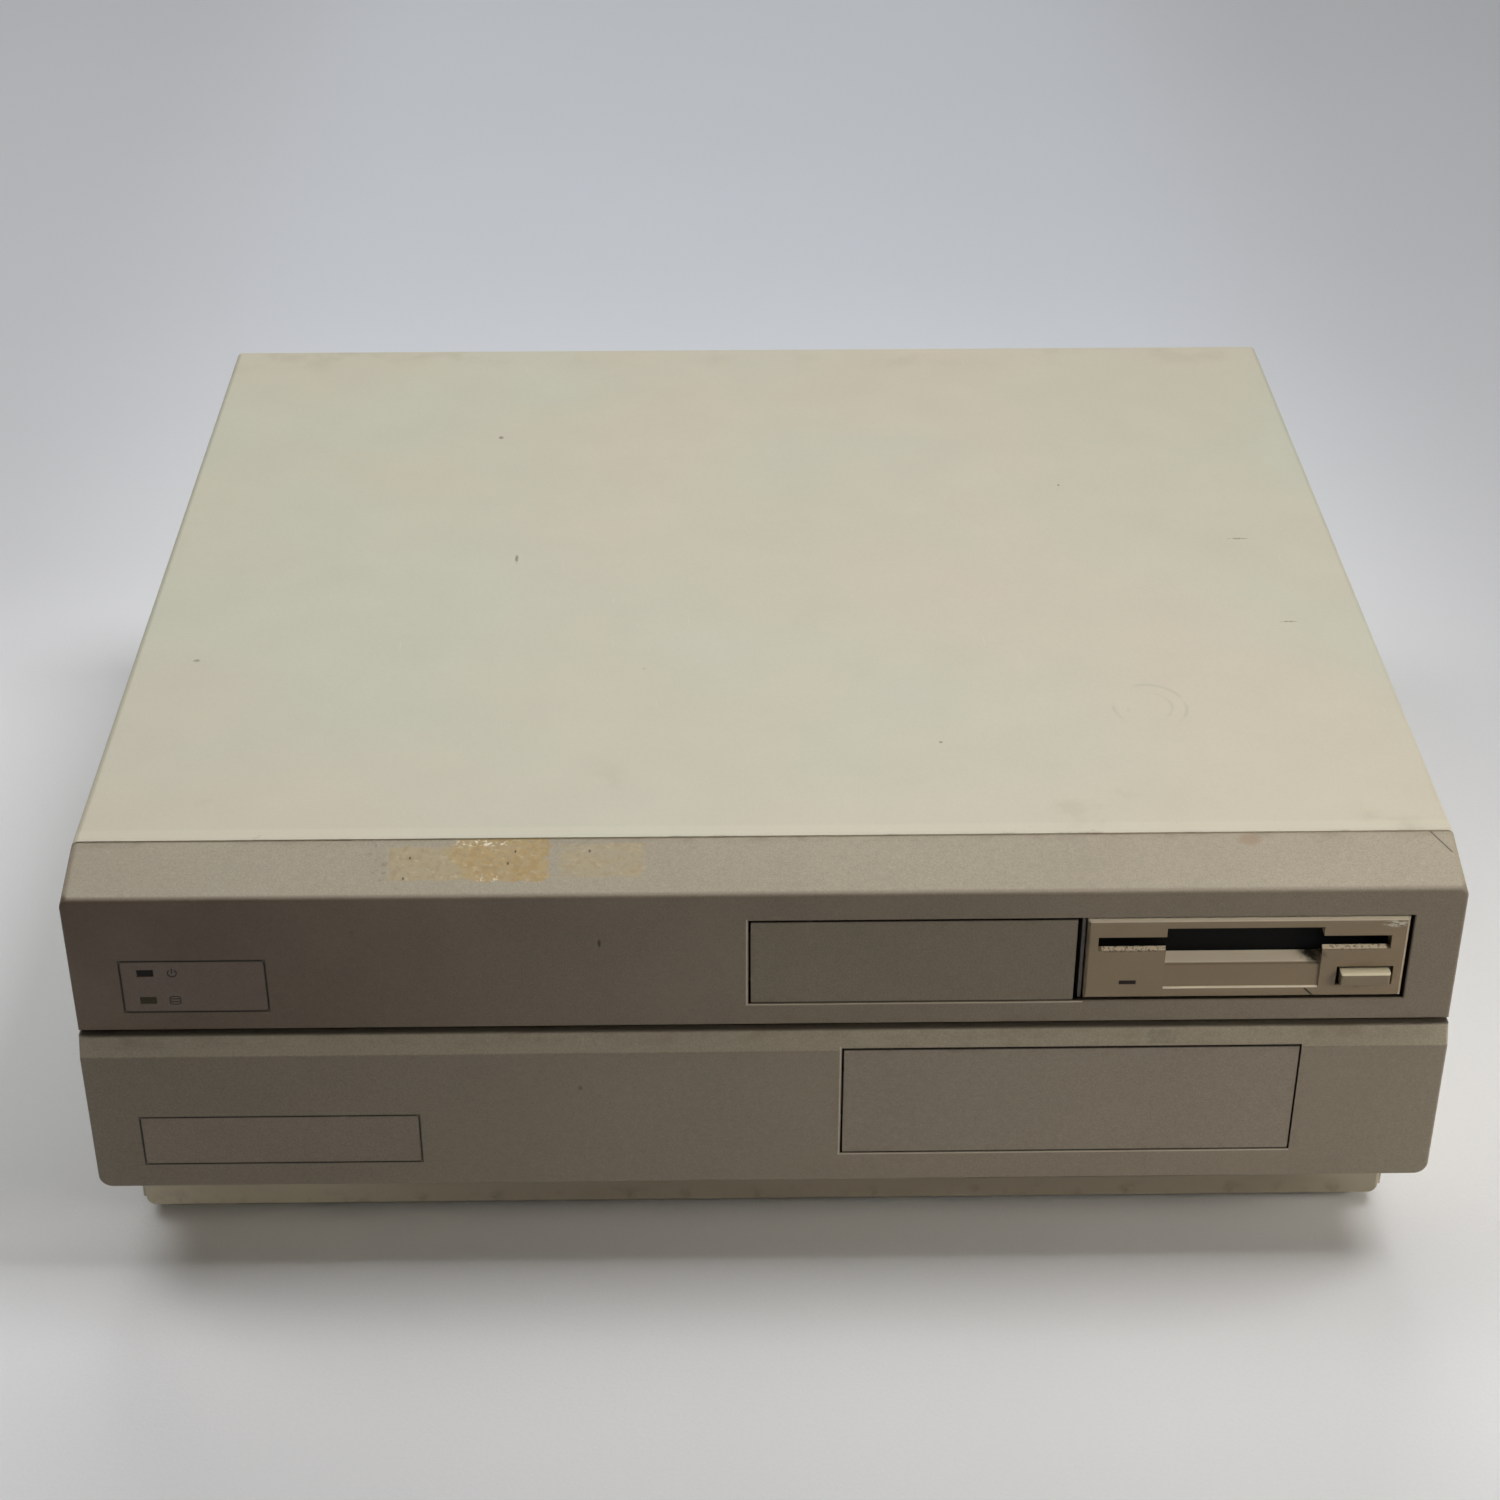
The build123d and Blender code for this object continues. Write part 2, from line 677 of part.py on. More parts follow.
def fascia_outline(inset):
    """(y, z) outline of the fascia from the side, moved inwards by a wall."""
    slope = atan2(body_height - cover_step - upper_face_top, top_bevel_run)
    drop = inset / cos(slope)
    tier_top = skirt_z + lower_tier_height
    groove_y = upper_face_y + groove_depth + inset
    over = 0 if inset == 0 else 1
    return [
        (fascia_back_y + over, skirt_z + inset),
        (front_y + inset, skirt_z + inset),
        (front_y + inset, skirt_z + lower_face_height),
        (front_y + lower_bevel_run + inset, tier_top - inset),
        (groove_y, tier_top - inset),
        (groove_y, tier_top + groove_height + inset),
        (upper_face_y + inset, tier_top + groove_height + inset),
        (upper_face_y + inset, skirt_z + upper_face_top - drop + inset * tan(slope)),
        (fascia_back_y + over, top_z - cover_step - drop + over * tan(slope)),
    ]


def fascia_block(inset):
    """The outline from end to end, with rounded corners seen from the front."""
    x = half_width - inset
    shape = prism_x(fascia_outline(inset), -x, x)
    for is_low, radius in ((True, bottom_corner), (False, top_corner)):
        def on_corner(edge):
            height = edge.center().Z
            level = height < skirt_z + inset + 0.1 if is_low else height > skirt_z + upper_face_top - inset
            return abs(edge.center().X) > x - 0.1 and level
        shape = fillet(shape.edges().filter_by(on_corner), radius - inset / 2)
    return shape


def is_front_edge(edge):
    """True for the fascia's edges in front of the groove's floor, and for the sides of its top bevel."""
    above_face = edge.center().Z > skirt_z + upper_face_top
    reach = top_bevel_run * 0.7 if above_face else groove_depth - slip
    return edge.bounding_box().max.Y < upper_face_y + reach


def opening_rim(shape, middle, width, low, height, face_y):
    """Front edges of a bay opening."""
    def on_rim(edge):
        box = edge.bounding_box()
        flat = abs(box.min.Y - face_y) < screw_play and abs(box.max.Y - face_y) < screw_play
        inside = abs(edge.center().X - middle) < width / 2 + screw_play
        level = low - screw_play < edge.center().Z < low + height + screw_play
        return flat and inside and level
    return shape.edges().filter_by(on_rim)


def make_front_fascia():
    """Two-tier moulding, open at the back, with bay openings, inlays, tunnels and screw posts."""
    outer = fascia_block(0)
    outer = fillet(outer.edges().filter_by(is_front_edge), fascia_edge)
    fascia = outer - fascia_block(fascia_wall)
    openings = [
        (small_opening_x, small_opening_width, small_low_z, small_opening_height, upper_face_y),
        (large_opening_x, large_opening_width, large_low_z, large_opening_height, front_y),
    ]
    for middle, width, low, height, face_y in openings:
        left = middle - width / 2
        tunnel = block(left - sleeve_wall, left + width + sleeve_wall, face_y + fascia_wall / 2,
                       face_y + sleeve_depth, low - sleeve_wall, low + height + sleeve_wall)
        fascia += tunnel
        fascia -= block(left, left + width, front_y - 1, fascia_back_y, low, low + height)
    rim = opening_rim(fascia, small_opening_x, small_opening_width, small_low_z, small_opening_height,
                      upper_face_y)
    fascia = chamfer(rim, opening_chamfer)
    for px, pz in fascia_posts():
        face = upper_face_y if pz > skirt_z + lower_tier_height else front_y
        fascia += rod_y(px, pz, face + fascia_wall / 2, fascia_back_y, post_radius)
        fascia -= rod_y(px, pz, fascia_back_y - 2 * screw_length, fascia_back_y + 1, hole_radius)
    for inlay in inlays():
        fascia -= tile(*inlay, panel_corner + inlay_gap)
    for z in (upper_light_z, lower_light_z):
        fascia -= light_block(skirt_z + z, inlay_gap / 2)
    return fascia


def inlays():
    """Recesses of the indicator panel and the name plate: x, z, width, height, y0, y1."""
    grow = 2 * inlay_gap
    return [
        (panel_x, skirt_z + panel_low + panel_height / 2, panel_width + grow, panel_height + grow,
         upper_face_y - 1, upper_face_y + inlay_depth),
        (plate_x, skirt_z + plate_low + plate_height / 2, plate_width + grow, plate_height + grow,
         front_y - 1, front_y + inlay_depth),
    ]


def light_block(z, grow):
    """Indicator light, or the hole it stands in."""
    return block(light_x - light_width / 2 - grow, light_x + light_width / 2 + grow,
                 upper_face_y + 0.1 - 4 * grow, upper_face_y + light_length + 4 * grow,
                 z - light_height / 2 - grow, z + light_height / 2 + grow)


def make_indicator_panel():
    z = skirt_z + panel_low + panel_height / 2
    panel = tile(panel_x, z, panel_width, panel_height, upper_face_y, upper_face_y + inlay_depth,
                 panel_corner)
    for light_z in (upper_light_z, lower_light_z):
        panel -= light_block(skirt_z + light_z, inlay_gap / 2)
    return panel


def make_name_plate():
    z = skirt_z + plate_low + plate_height / 2
    return tile(plate_x, z, plate_width, plate_height, front_y, front_y + inlay_depth, panel_corner)


def bay_blank(left, right, low, high, face_y):
    """Cap that closes a bay: a face with turned-back edges and two spring legs on the tunnel's sides."""
    cap = block(left, right, face_y, face_y + blank_depth, low, high)
    cap = fillet(cap.edges().filter_by(Axis.Y), blank_gap)
    cap -= block(left + blank_wall, right - blank_wall, face_y + blank_wall, face_y + blank_depth + 1,
                 low + blank_wall, high - blank_wall)
    middle = (low + high) / 2
    leg = blank_depth
    lean = blank_side_gap - slip
    for x in (left - lean, right - blank_wall):
        cap += block(x, x + blank_wall + lean, face_y + blank_depth / 2, face_y + 2 * blank_depth,
                     middle - leg, middle + leg)
    return cap


def make_small_bay_blank():
    left = small_left_x + blank_side_gap
    low = small_low_z + blank_gap
    high = small_low_z + small_opening_height - blank_gap
    return bay_blank(left, left + small_blank_width, low, high, upper_face_y)


def make_large_bay_blank():
    left = large_opening_x - large_opening_width / 2 + blank_side_gap
    right = large_opening_x + large_opening_width / 2 - blank_side_gap
    low = large_low_z + blank_gap
    high = large_low_z + large_opening_height - blank_gap
    return bay_blank(left, right, low, high, front_y)


def cover_inside():
    """Space inside the cover, with room to slide it on."""
    side = cover_x - sheet - slip
    space = block(-side, side, front_y, rear_y, 0, cover_inner_z - slip)
    return fillet(space.edges().filter_by(Axis.Y).group_by(Axis.Z)[-1], cover_bend)


def make_front_shield():
    """Steel plate behind the fascia, with the bay openings and a foot on the pan's flange."""
    side = cover_x - sheet - slip
    plate = block(-side, side, fascia_back_y, shield_y, pan_top_z, cover_inner_z - slip)
    plate += block(-plinth_x + 3 * sheet, plinth_x - 3 * sheet, fascia_back_y + sheet / 2,
                   fascia_back_y + sheet + flange, pan_top_z, pan_top_z + sheet)
    plate += block(-side, side, shield_y - sheet / 2, shield_y + flange, cover_inner_z - slip - sheet,
                   cover_inner_z - slip)
    plate = plate & cover_inside()
    margin = 1.0
    plate -= block(-fascia_width, -plinth_x, front_y, rear_y, 0, skirt_z + 2 * sheet)
    plate -= block(plinth_x, fascia_width, front_y, rear_y, 0, skirt_z + 2 * sheet)
    for middle, width, low, height in (
            (small_opening_x, small_opening_width, small_low_z, small_opening_height),
            (large_opening_x, large_opening_width, large_low_z, large_opening_height)):
        plate -= block(middle - width / 2 - margin, middle + width / 2 + margin, fascia_back_y - 1,
                       shield_y + 1, low - margin, low + height + margin)
    for x, z in fascia_posts() + cage_front_screws():
        plate -= rod_y(x, z, fascia_back_y - 1, shield_y + 1, hole_radius)
    for x, y in shield_feet():
        plate -= rod_z(x, y, pan_top_z - 1, pan_top_z + 2 * sheet, hole_radius)
    plate -= block(light_x - 2 * light_width, light_x + 2 * light_width, fascia_back_y - 1, shield_y + 1,
                   skirt_z + lower_light_z - light_height, skirt_z + upper_light_z + light_height)
    return plate


def make_rear_panel():
    """Upright steel wall with the slot openings, the supply's cut-outs, a ledge and a tab for the cover."""
    side = cover_x - sheet - slip
    low = skirt_z + 2 * sheet
    tab_y = rear_y - sheet
    panel = block(-side, side, rear_wall_y, plinth_rear_y, low, slot_ledge_height)
    panel += block(-plinth_x + sheet, plinth_x - sheet, rear_wall_y, plinth_rear_y, pan_top_z, low + sheet)
    panel += block(-plinth_x + 3 * sheet, plinth_x - 3 * sheet, rear_wall_y - flange, rear_wall_y + sheet / 2,
                   pan_top_z, pan_top_z + sheet)
    panel += block(-side, side, rear_wall_y, tab_y, slot_ledge_height - sheet, slot_ledge_height)
    panel += block(-side, side, tab_y - sheet, tab_y, slot_ledge_height - sheet, cover_inner_z - slip)
    panel = panel & cover_inside()
    for x in slot_places():
        panel -= block(x - slot_opening_width / 2, x + slot_opening_width / 2, rear_wall_y - 1,
                       plinth_rear_y + 1, slot_opening_low, slot_ledge_height - 3 * sheet)
        panel -= rod_z(x, slot_screw_y(), slot_ledge_height - 2 * sheet, slot_ledge_height + 1, hole_radius)
    for x, y in panel_feet():
        panel -= rod_z(x, y, pan_top_z - 1, pan_top_z + 2 * sheet, hole_radius)
    panel -= rod_y(0, cover_inner_z - cover_lip / 2, tab_y - 3 * sheet, tab_y + 1, hole_radius)
    panel -= supply_cutouts()
    return panel


def slot_screw_y():
    """Middle of the ledge between the rear wall and the tab."""
    return (plinth_rear_y + rear_y - 2 * sheet) / 2


def make_slot_covers():
    """Blank brackets inside the rear wall, each with an ear on the ledge."""
    covers = []
    for index, x in enumerate(slot_places()):
        if index == card_slot:
            continue
        covers.append(slot_bracket(x))
    return group(covers)


def slot_bracket(x):
    """Flat bracket of one slot."""
    half = slot_cover_width / 2
    top = slot_ledge_height + slot_cover_sheet
    tongue = 5.0
    plate = block(x - half, x + half, rear_wall_y - slot_cover_sheet, rear_wall_y,
                  slot_opening_low - tongue, top)
    ear_end = rear_y - 2 * sheet - slip
    plate += block(x - half, x + half, rear_wall_y - slot_cover_sheet / 2, ear_end, slot_ledge_height, top)
    plate -= rod_z(x, slot_screw_y(), slot_ledge_height - 1, top + 1, hole_radius)
    return plate


def make_outer_screws():
    """Screws seen from outside: cover's skirts and rear lip, fan guard and mains inlet."""
    skirt_x = plinth_x + slip / 3 + sheet
    right = [(skirt_x, y, z) for y, z in cover_side_places()]
    left = [(-skirt_x, y, z) for y, z in cover_side_places()]
    back = [(0, rear_y, cover_inner_z - cover_lip / 2)]
    half = fan_screw_pitch / 2
    fan = [(fan_x + i * half, plinth_rear_y + guard_eye, fan_z + j * half) for i in (-1, 1) for j in (-1, 1)]
    inlet = [(inlet_x + i * inlet_screw_half(), plinth_rear_y + inlet_wall, inlet_z) for i in (-1, 1)]
    sides = screws_at(right, head_right) + screws_at(left, head_left)
    return group(sides + screws_at(back + fan + inlet, head_back))


def make_chassis_screws():
    """Screws of the fascia, shield, rear panel, board, slots and cage."""
    through_shield = [(x, shield_y, z) for x, z in fascia_posts()]
    shield = [(x, y, pan_top_z + sheet) for x, y in shield_feet()]
    panel = [(x, y, pan_top_z + sheet) for x, y in panel_feet()]
    board = [(x, y, board_top_z) for x, y in standoff_places()]
    slots = [(x, slot_screw_y(), slot_ledge_height + slot_cover_sheet) for x in slot_places()]
    cage = [(x, shield_y + cage_sheet, z) for x, z in cage_front_screws()]
    upright = screws_at(shield + panel + board + slots, head_up)
    return group(screws_at(through_shield + cage, head_back) + upright)


# ---- main board ------------------------------------------------------------------------------------------
def make_main_board():
    """Printed board of the whole machine, on posts above the pan's floor."""
    half = board_width / 2
    board = block(-half, half, board_front_y, board_rear_y, board_z, board_top_z)
    for x, y in standoff_places():
        board -= rod_z(x, y, board_z - 1, board_top_z + 1, hole_radius)
    return board


def make_board_standoffs():
    """Threaded posts between the pan and the board, with a stud through the pan."""
    posts = []
    for x, y in standoff_places():
        post = rod_z(x, y, pan_floor_z, board_z, standoff_radius)
        post += rod_z(x, y, pan_z, pan_floor_z + sheet, screw_radius)
        posts.append(post - rod_z(x, y, board_z - screw_length, board_z + 1, hole_radius))
    return group(posts)


def chip_plan():
    """(x, y, (length, width), socketed) of the chips on the main board."""
    plan = []
    row_y = board_front_y + processor_setback
    plan.append((processor_size[0] * 0.37, row_y, processor_size, True))
    plan.append((board_width * 0.35, row_y, store_chip_size, True))
    for x in (first_chip_x, second_chip_x, board_width / 2 - last_chip_inset):
        plan.append((x, custom_chip_y, custom_chip_size, True))
    for x in (first_chip_x, first_chip_x + store_chip_pitch):
        plan.append((x, board_front_y + store_chip_setback, store_chip_size, True))
    for row in range(2):
        for index in range(8):
            x = -board_width / 2 + memory_inset + index * memory_pitch[0]
            plan.append((x, board_front_y + memory_setback + row * memory_pitch[1], memory_chip_size, False))
    for index in range(9):
        x = (index - 3) * logic_chip_pitch
        plan.append((x, board_front_y + logic_chip_setback, memory_chip_size, False))
    return plan


def make_chip_sockets():
    """Open frames under the large chips."""
    sockets = []
    for x, y, (length, width), socketed in chip_plan():
        if socketed:
            frame = Pos(x, y, board_top_z + socket_height / 2) * Box(length, width, socket_height)
            hole = Box(length - 4 * socket_wall, width - 4 * socket_wall, socket_height + 1)
            sockets.append(frame - Pos(x, y, board_top_z + socket_height / 2) * hole)
    return group(sockets)


def make_main_chips():
    """Dual in-line packages with a notch at one end."""
    chips = []
    for x, y, (length, width), socketed in chip_plan():
        low = board_top_z + (socket_height if socketed else 0)
        body = Pos(x, y, low + chip_height / 2) * Box(length, width, chip_height)
        body = chamfer(body.edges().group_by(Axis.Z)[-1], chip_height / 6)
        chips.append(body - rod_z(x - length / 2, y, low + chip_height * 0.6, low + chip_height + 1,
                                  chip_notch))
    return group(chips)


def make_board_capacitors():
    """Electrolytic cans in a row near the supply's connector."""
    cans = []
    for index in range(6):
        x = board_width * 0.15 + index * 3 * capacitor_radius
        cans.append(rod_z(x, board_front_y + capacitor_setback, board_top_z, board_top_z + capacitor_height,
                          capacitor_radius))
    return group(cans)


def slot_connector(x, front, length):
    """Edge connector with a groove for a card's tongue."""
    body = block(x - slot_connector_width / 2, x + slot_connector_width / 2, front, front + length,
                 board_top_z, board_top_z + slot_connector_height)
    body = chamfer(body.edges().group_by(Axis.Z)[-1], slot_groove / 3)
    top = board_top_z + slot_connector_height
    margin = 2 * slot_groove
    return body - block(x - slot_groove / 2, x + slot_groove / 2, front + margin, front + length - margin,
                        top - slot_groove_depth, top + 1)


def make_expansion_connectors():
    """One row of long connectors, and a row of shorter ones behind some of them."""
    connectors = []
    for index in range(slot_connector_count):
        connectors.append(slot_connector(slot_places()[index], slot_connector_front, slot_connector_length))
    back = slot_connector_front + slot_connector_length + rear_connector_gap
    for index in range(rear_connector_count):
        x = slot_places()[index]
        length = min(rear_connector_length, board_rear_y - back - port_body_depth - 2)
        connectors.append(slot_connector(x, back, length))
    return group(connectors)


def make_controller_card():
    """Hard disk controller in a slot: board with a tongue, chips, a header and its bracket."""
    x = slot_places()[card_slot]
    half = card_thickness / 2
    top = board_top_z + slot_connector_height
    rear = rear_wall_y - slot_cover_sheet
    low = top + slip
    board = block(x - half, x + half, rear - card_length, rear, low, low + card_height)
    margin = 2 * slot_groove + card_tongue_play
    tongue = block(x - half, x + half, slot_connector_front + margin,
                   slot_connector_front + slot_connector_length - margin,
                   top - slot_groove_depth + card_tongue_play, low + 1)
    board -= block(x - 1 - half, x + 1 + half, rear - flange - 1, rear + 1, low - 1,
                   pan_top_z + 2 * sheet + slip)
    board = board + tongue
    pieces = [board, slot_bracket(x)]
    chip = 3.0
    for index in range(4):
        y = rear - card_length + 30 + index * 42
        pieces.append(block(x - half - chip, x - half, y - 15, y + 15, low + 30, low + 44))
        pieces.append(block(x - half - chip, x - half, y - 12, y + 12, low + 58, low + 66))
    return group(pieces)


# ---- ports -----------------------------------------------------------------------------------------------
def rear_ports():
    """Name, x, pin count and whether it has pins, of the D-shaped ports in the rear wall."""
    return [("serial_port", serial_x, 25, True), ("parallel_port", parallel_x, 25, False),
            ("drive_port", drive_port_x, 23, False), ("video_port", video_x, 23, True)]


def d_ports():
    """(x, pin count) of the rear ports."""
    return [(x, pins) for name, x, pins, male in rear_ports()]


def d_width(pins):
    """Width of the D shell along its upper, longer side."""
    return (pins + 1) / 2 * port_pitch + 2.5


def jackscrew_span(pins):
    """Distance between the two jackscrews of a port."""
    return (pins - 1) / 2 * port_pitch + 13.8


def d_prism(pins, grow, y0, y1, x):
    """D-shaped block along Y, the outer shape of a port's shell."""
    half = d_width(pins) / 2 + grow
    height = port_shell_height / 2 + grow
    narrow = half - 2 * height * tan(radians(port_slant))
    points = [(x - half, port_z + height), (x + half, port_z + height), (x + narrow, port_z - height),
              (x - narrow, port_z - height)]
    shape = prism_y(points, y0, y1)
    return fillet(shape.edges().filter_by(Axis.Y), 1.6 + grow)


def port_pins(x, pins):
    """(x, z) of each contact, in two rows."""
    upper = (pins + 1) // 2
    places = []
    for index in range(upper):
        places.append((x + (index - (upper - 1) / 2) * port_pitch, port_z + port_row_gap / 2))
    for index in range(upper - 1):
        places.append((x + (index - (upper - 2) / 2) * port_pitch, port_z - port_row_gap / 2))
    return places


def d_connector(x, pins, male, wall_y, outward):
    """Port with its flange inside a wall and its shell through it; outward is 1 at the back, else -1."""
    def span(a, b):
        return (min(a, b), max(a, b))
    flange_in = wall_y - outward * port_flange_thickness
    tip = wall_y + outward * port_shell_reach
    body_in = flange_in - outward * port_body_depth
    width = jackscrew_span(pins) + 7
    flange_plate = block(x - width / 2, x + width / 2, *span(wall_y, flange_in),
                         port_z - port_flange_height / 2 + slip / 3, port_z + port_flange_height / 2)
    shell = flange_plate + d_prism(pins, 0, *span(wall_y - outward * port_flange_thickness / 2, tip), x)
    shell -= d_prism(pins, -port_shell_wall, *span(flange_in - outward, tip + outward), x)
    for side in (-1, 1):
        bore_span = span(wall_y + outward, flange_in - outward)
        shell -= rod_y(x + side * jackscrew_span(pins) / 2, port_z, *bore_span, hole_radius)
    core_half = d_width(pins) / 2 - 2 * port_shell_wall
    low = board_top_z
    core = block(x - core_half, x + core_half, *span(flange_in, body_in), low, port_z + port_shell_height / 2)
    contacts = port_pins(x, pins)
    if male:
        core += d_prism(pins, -port_shell_wall - screw_play, *span(flange_in - outward, wall_y), x)
        for px, pz in contacts:
            core += rod_y(px, pz, *span(wall_y - outward, tip - outward), port_pin_radius)
    else:
        core_span = span(flange_in - outward, tip - outward * 0.3)
        core += d_prism(pins, -port_shell_wall - screw_play, *core_span, x)
        for px, pz in contacts:
            core -= rod_y(px, pz, *span(tip - 5 * outward, tip + outward), port_pin_radius + 0.1)
    return group([shell, core])


def make_jackscrews():
    """Hexagonal threaded posts beside each rear port."""
    posts = []
    for x, pins in d_ports():
        for side in (-1, 1):
            px = x + side * jackscrew_span(pins) / 2
            head = Pos(px, plinth_rear_y, port_z) * (Rot(-90, 0, 0) * extrude(
                RegularPolygon(jackscrew_radius, 6), amount=jackscrew_reach))
            stud = rod_y(px, port_z, rear_wall_y - 3 * sheet, plinth_rear_y + 1, screw_radius)
            bore = rod_y(px, port_z, plinth_rear_y, plinth_rear_y + jackscrew_reach + 1, jackscrew_bore)
            posts.append(head + stud - bore)
    return group(posts)


def make_audio_jacks():
    """Three phono jacks on one moulded block: two for sound, one for a plain picture."""
    left = audio_x - audio_pitch * 0.45
    right = audio_x + audio_pitch * 2.45
    body = block(left, right, rear_wall_y - port_body_depth, rear_wall_y, board_top_z,
                 port_z + jack_boss_radius + slip)
    for index in range(3):
        x = audio_x + index * audio_pitch
        body += rod_y(x, port_z, rear_wall_y - 1, plinth_rear_y, jack_boss_radius)
        body += rod_y(x, port_z, plinth_rear_y - 1, plinth_rear_y + jack_reach, jack_radius)
        body -= rod_y(x, port_z, plinth_rear_y - 2, plinth_rear_y + jack_reach + 1, jack_bore)
    return body


def keyboard_z():
    """Height of the keyboard socket's axis."""
    return board_top_z + keyboard_bore + sheet + slip


def make_keyboard_socket():
    """Round five-pole socket behind the pan's front wall."""
    back_y = plinth_front_y + sheet
    z = keyboard_z()
    half = keyboard_body / 2
    body = block(keyboard_x - half, keyboard_x + half, back_y, back_y + keyboard_body, board_top_z,
                 pan_top_z - 2 * sheet)
    body += rod_y(keyboard_x, z, plinth_front_y, back_y + 1, keyboard_bore + sheet - screw_play)
    body -= rod_y(keyboard_x, z, plinth_front_y - 1, plinth_front_y + keyboard_bore_depth, keyboard_bore)
    for index in range(5):
        angle = radians(180 + 45 * index)
        px = keyboard_x + keyboard_bore * 0.62 * cos(angle)
        pz = z - keyboard_bore * 0.62 * sin(angle)
        body -= rod_y(px, pz, plinth_front_y, plinth_front_y + keyboard_bore_depth + 6, 0.9)
    return body


def make_controller_ports():
    """Two nine-pin ports in the pan's front wall."""
    ports = []
    for index in range(2):
        ports.append(d_connector(controller_x - index * controller_pitch, 9, True, controller_wall_y, -1))
    return group(ports)


# ---- drive cage ------------------------------------------------------------------------------------------
def make_drive_cage():
    """Folded cage that carries the drives and the power supply above the main board."""
    s = cage_sheet
    front = shield_y
    shelf_end = front + shelf_length
    low = cage_floor - s
    large_left = large_opening_x - large_opening_width / 2 - s - slip
    large_right = large_opening_x + large_opening_width / 2 + slip
    cage = block(cage_left, cage_right, front, rear_wall_y, low, cage_floor)
    cage += block(cage_left, cage_left + s, front, shelf_end, low, cage_top)
    cage += block(cage_right - s, cage_right, front, rear_wall_y, low, cage_top)
    cage += block(cage_left, cage_right, front, shelf_end, shelf_z - s, shelf_z)
    for x in (large_left, large_right):
        cage += block(x, x + s, front, shelf_end, low, shelf_z)
    divider_top = small_low_z + small_opening_height - blank_gap
    cage += block(divider_left_x, divider_left_x + s, front, shelf_end, shelf_z - s / 2, divider_top)
    cage += block(divider_left_x, divider_left_x + s, upper_face_y + divider_setback, front + s,
                  small_low_z + blank_gap, divider_top)
    for x0, x1 in ((cage_left, cage_left + s + flange), (cage_right - s - flange, cage_right)):
        cage += block(x0, x1, front, front + s, low, shelf_z)
    cage += block(cage_right - s, cage_right, front + 2 * flange, rear_wall_y - 2 * flange, pan_floor_z,
                  cage_floor)
    port_left = large_left + 8 * s
    cage -= block(port_left, port_left + large_opening_width * 0.7, cable_port_front,
                  cable_port_front + cable_port_length, low - 1, cage_floor + 1)
    for x, z in cage_front_screws():
        cage -= rod_y(x, z, front - 1, front + 2 * s, hole_radius)
    return cage


# ---- floppy drive ----------------------------------------------------------------------------------------
def make_floppy_bezel():
    """Front of the floppy drive: disk slot, finger recess, button well, light slit and flap ears."""
    left = bezel_x - bezel_width / 2
    low = bezel_low_z
    face = upper_face_y
    bezel = block(left, left + bezel_width, face, bezel_back_y, low, low + bezel_height)
    bezel = chamfer(bezel.faces().sort_by(Axis.Y)[0].edges(), bezel_chamfer)
    grip_left = slot_x - grip_width / 2
    ledge = low + grip_ledge
    back = bezel_back_y + 1
    outline = [(face - 1, low + grip_low), (face + 0.3, low + grip_low), (face + 0.7, low + grip_face),
               (face + 1.3, low + grip_face + 1), (back, ledge), (back, low + grip_top),
               (face - 1, low + grip_top)]
    bezel -= prism_x(outline, grip_left, grip_left + grip_width)
    slot_half = disk_slot_width / 2
    bezel -= block(slot_x - slot_half, slot_x + slot_half, face - 1, back, disk_slot_z, disk_slot_top_z)
    bezel -= block(slot_x - slot_half, slot_x + slot_half, face + disk_slot_lip, back, ledge, disk_slot_top_z)
    lip = [(face - 1, disk_slot_z - 2), (face + 1.6, disk_slot_z + 0.5), (face - 1, disk_slot_z + 0.5)]
    bezel -= prism_x(lip, slot_x - slot_half, slot_x + slot_half)
    bx = bezel_x + button_offset
    bz = low + button_low + button_height / 2
    well = button_well_margin
    bezel -= block(bx - button_width / 2 - well, bx + button_width / 2 + well, face - 1,
                   face + button_well_depth, bz - button_height / 2 - well, bz + button_height / 2 + well)
    bezel -= block(bx - button_width / 2 - slip, bx + button_width / 2 + slip, face - 1, bezel_back_y + 1,
                   bz - button_height / 2 - slip, bz + button_height / 2 + slip)
    bezel -= drive_light(screw_play, 1)
    for side in (-1, 1):
        inner = slot_x + side * (slot_half + flap_margin + slip)
        outer = inner + side * 2.0
        ear = block(min(inner, outer), max(inner, outer), bezel_back_y - 1, ear_back_y(),
                    disk_slot_top_z - 0.6, flap_z() + 1.8)
        bezel += ear
        bezel -= rod_x(flap_y(), flap_z(), min(inner, outer) - 0.5, max(inner, outer) + 0.5,
                       flap_pin_radius + running)
    return bezel


def drive_light(grow, reach):
    """Activity light, or its hole."""
    x = bezel_x + drive_light_offset
    z = bezel_low_z + drive_light_low
    return block(x - drive_light_width / 2 - grow, x + drive_light_width / 2 + grow,
                 upper_face_y - grow * reach * 20, bezel_back_y + 2.0,
                 z - drive_light_height / 2 - grow, z + drive_light_height / 2 + grow)


def flap_y():
    """Depth of the flap's hinge axis."""
    return bezel_back_y + slip + 1.0


def ear_back_y():
    """Back of the bezel's ears that hold the flap."""
    return flap_y() + 2.0


def flap_z():
    """Height of the flap's hinge axis, above the grip's top."""
    return bezel_low_z + grip_top + 1.4


def flap_low_z():
    """Lower edge of the flap, below the grip's ledge."""
    return bezel_low_z + grip_ledge - flap_margin


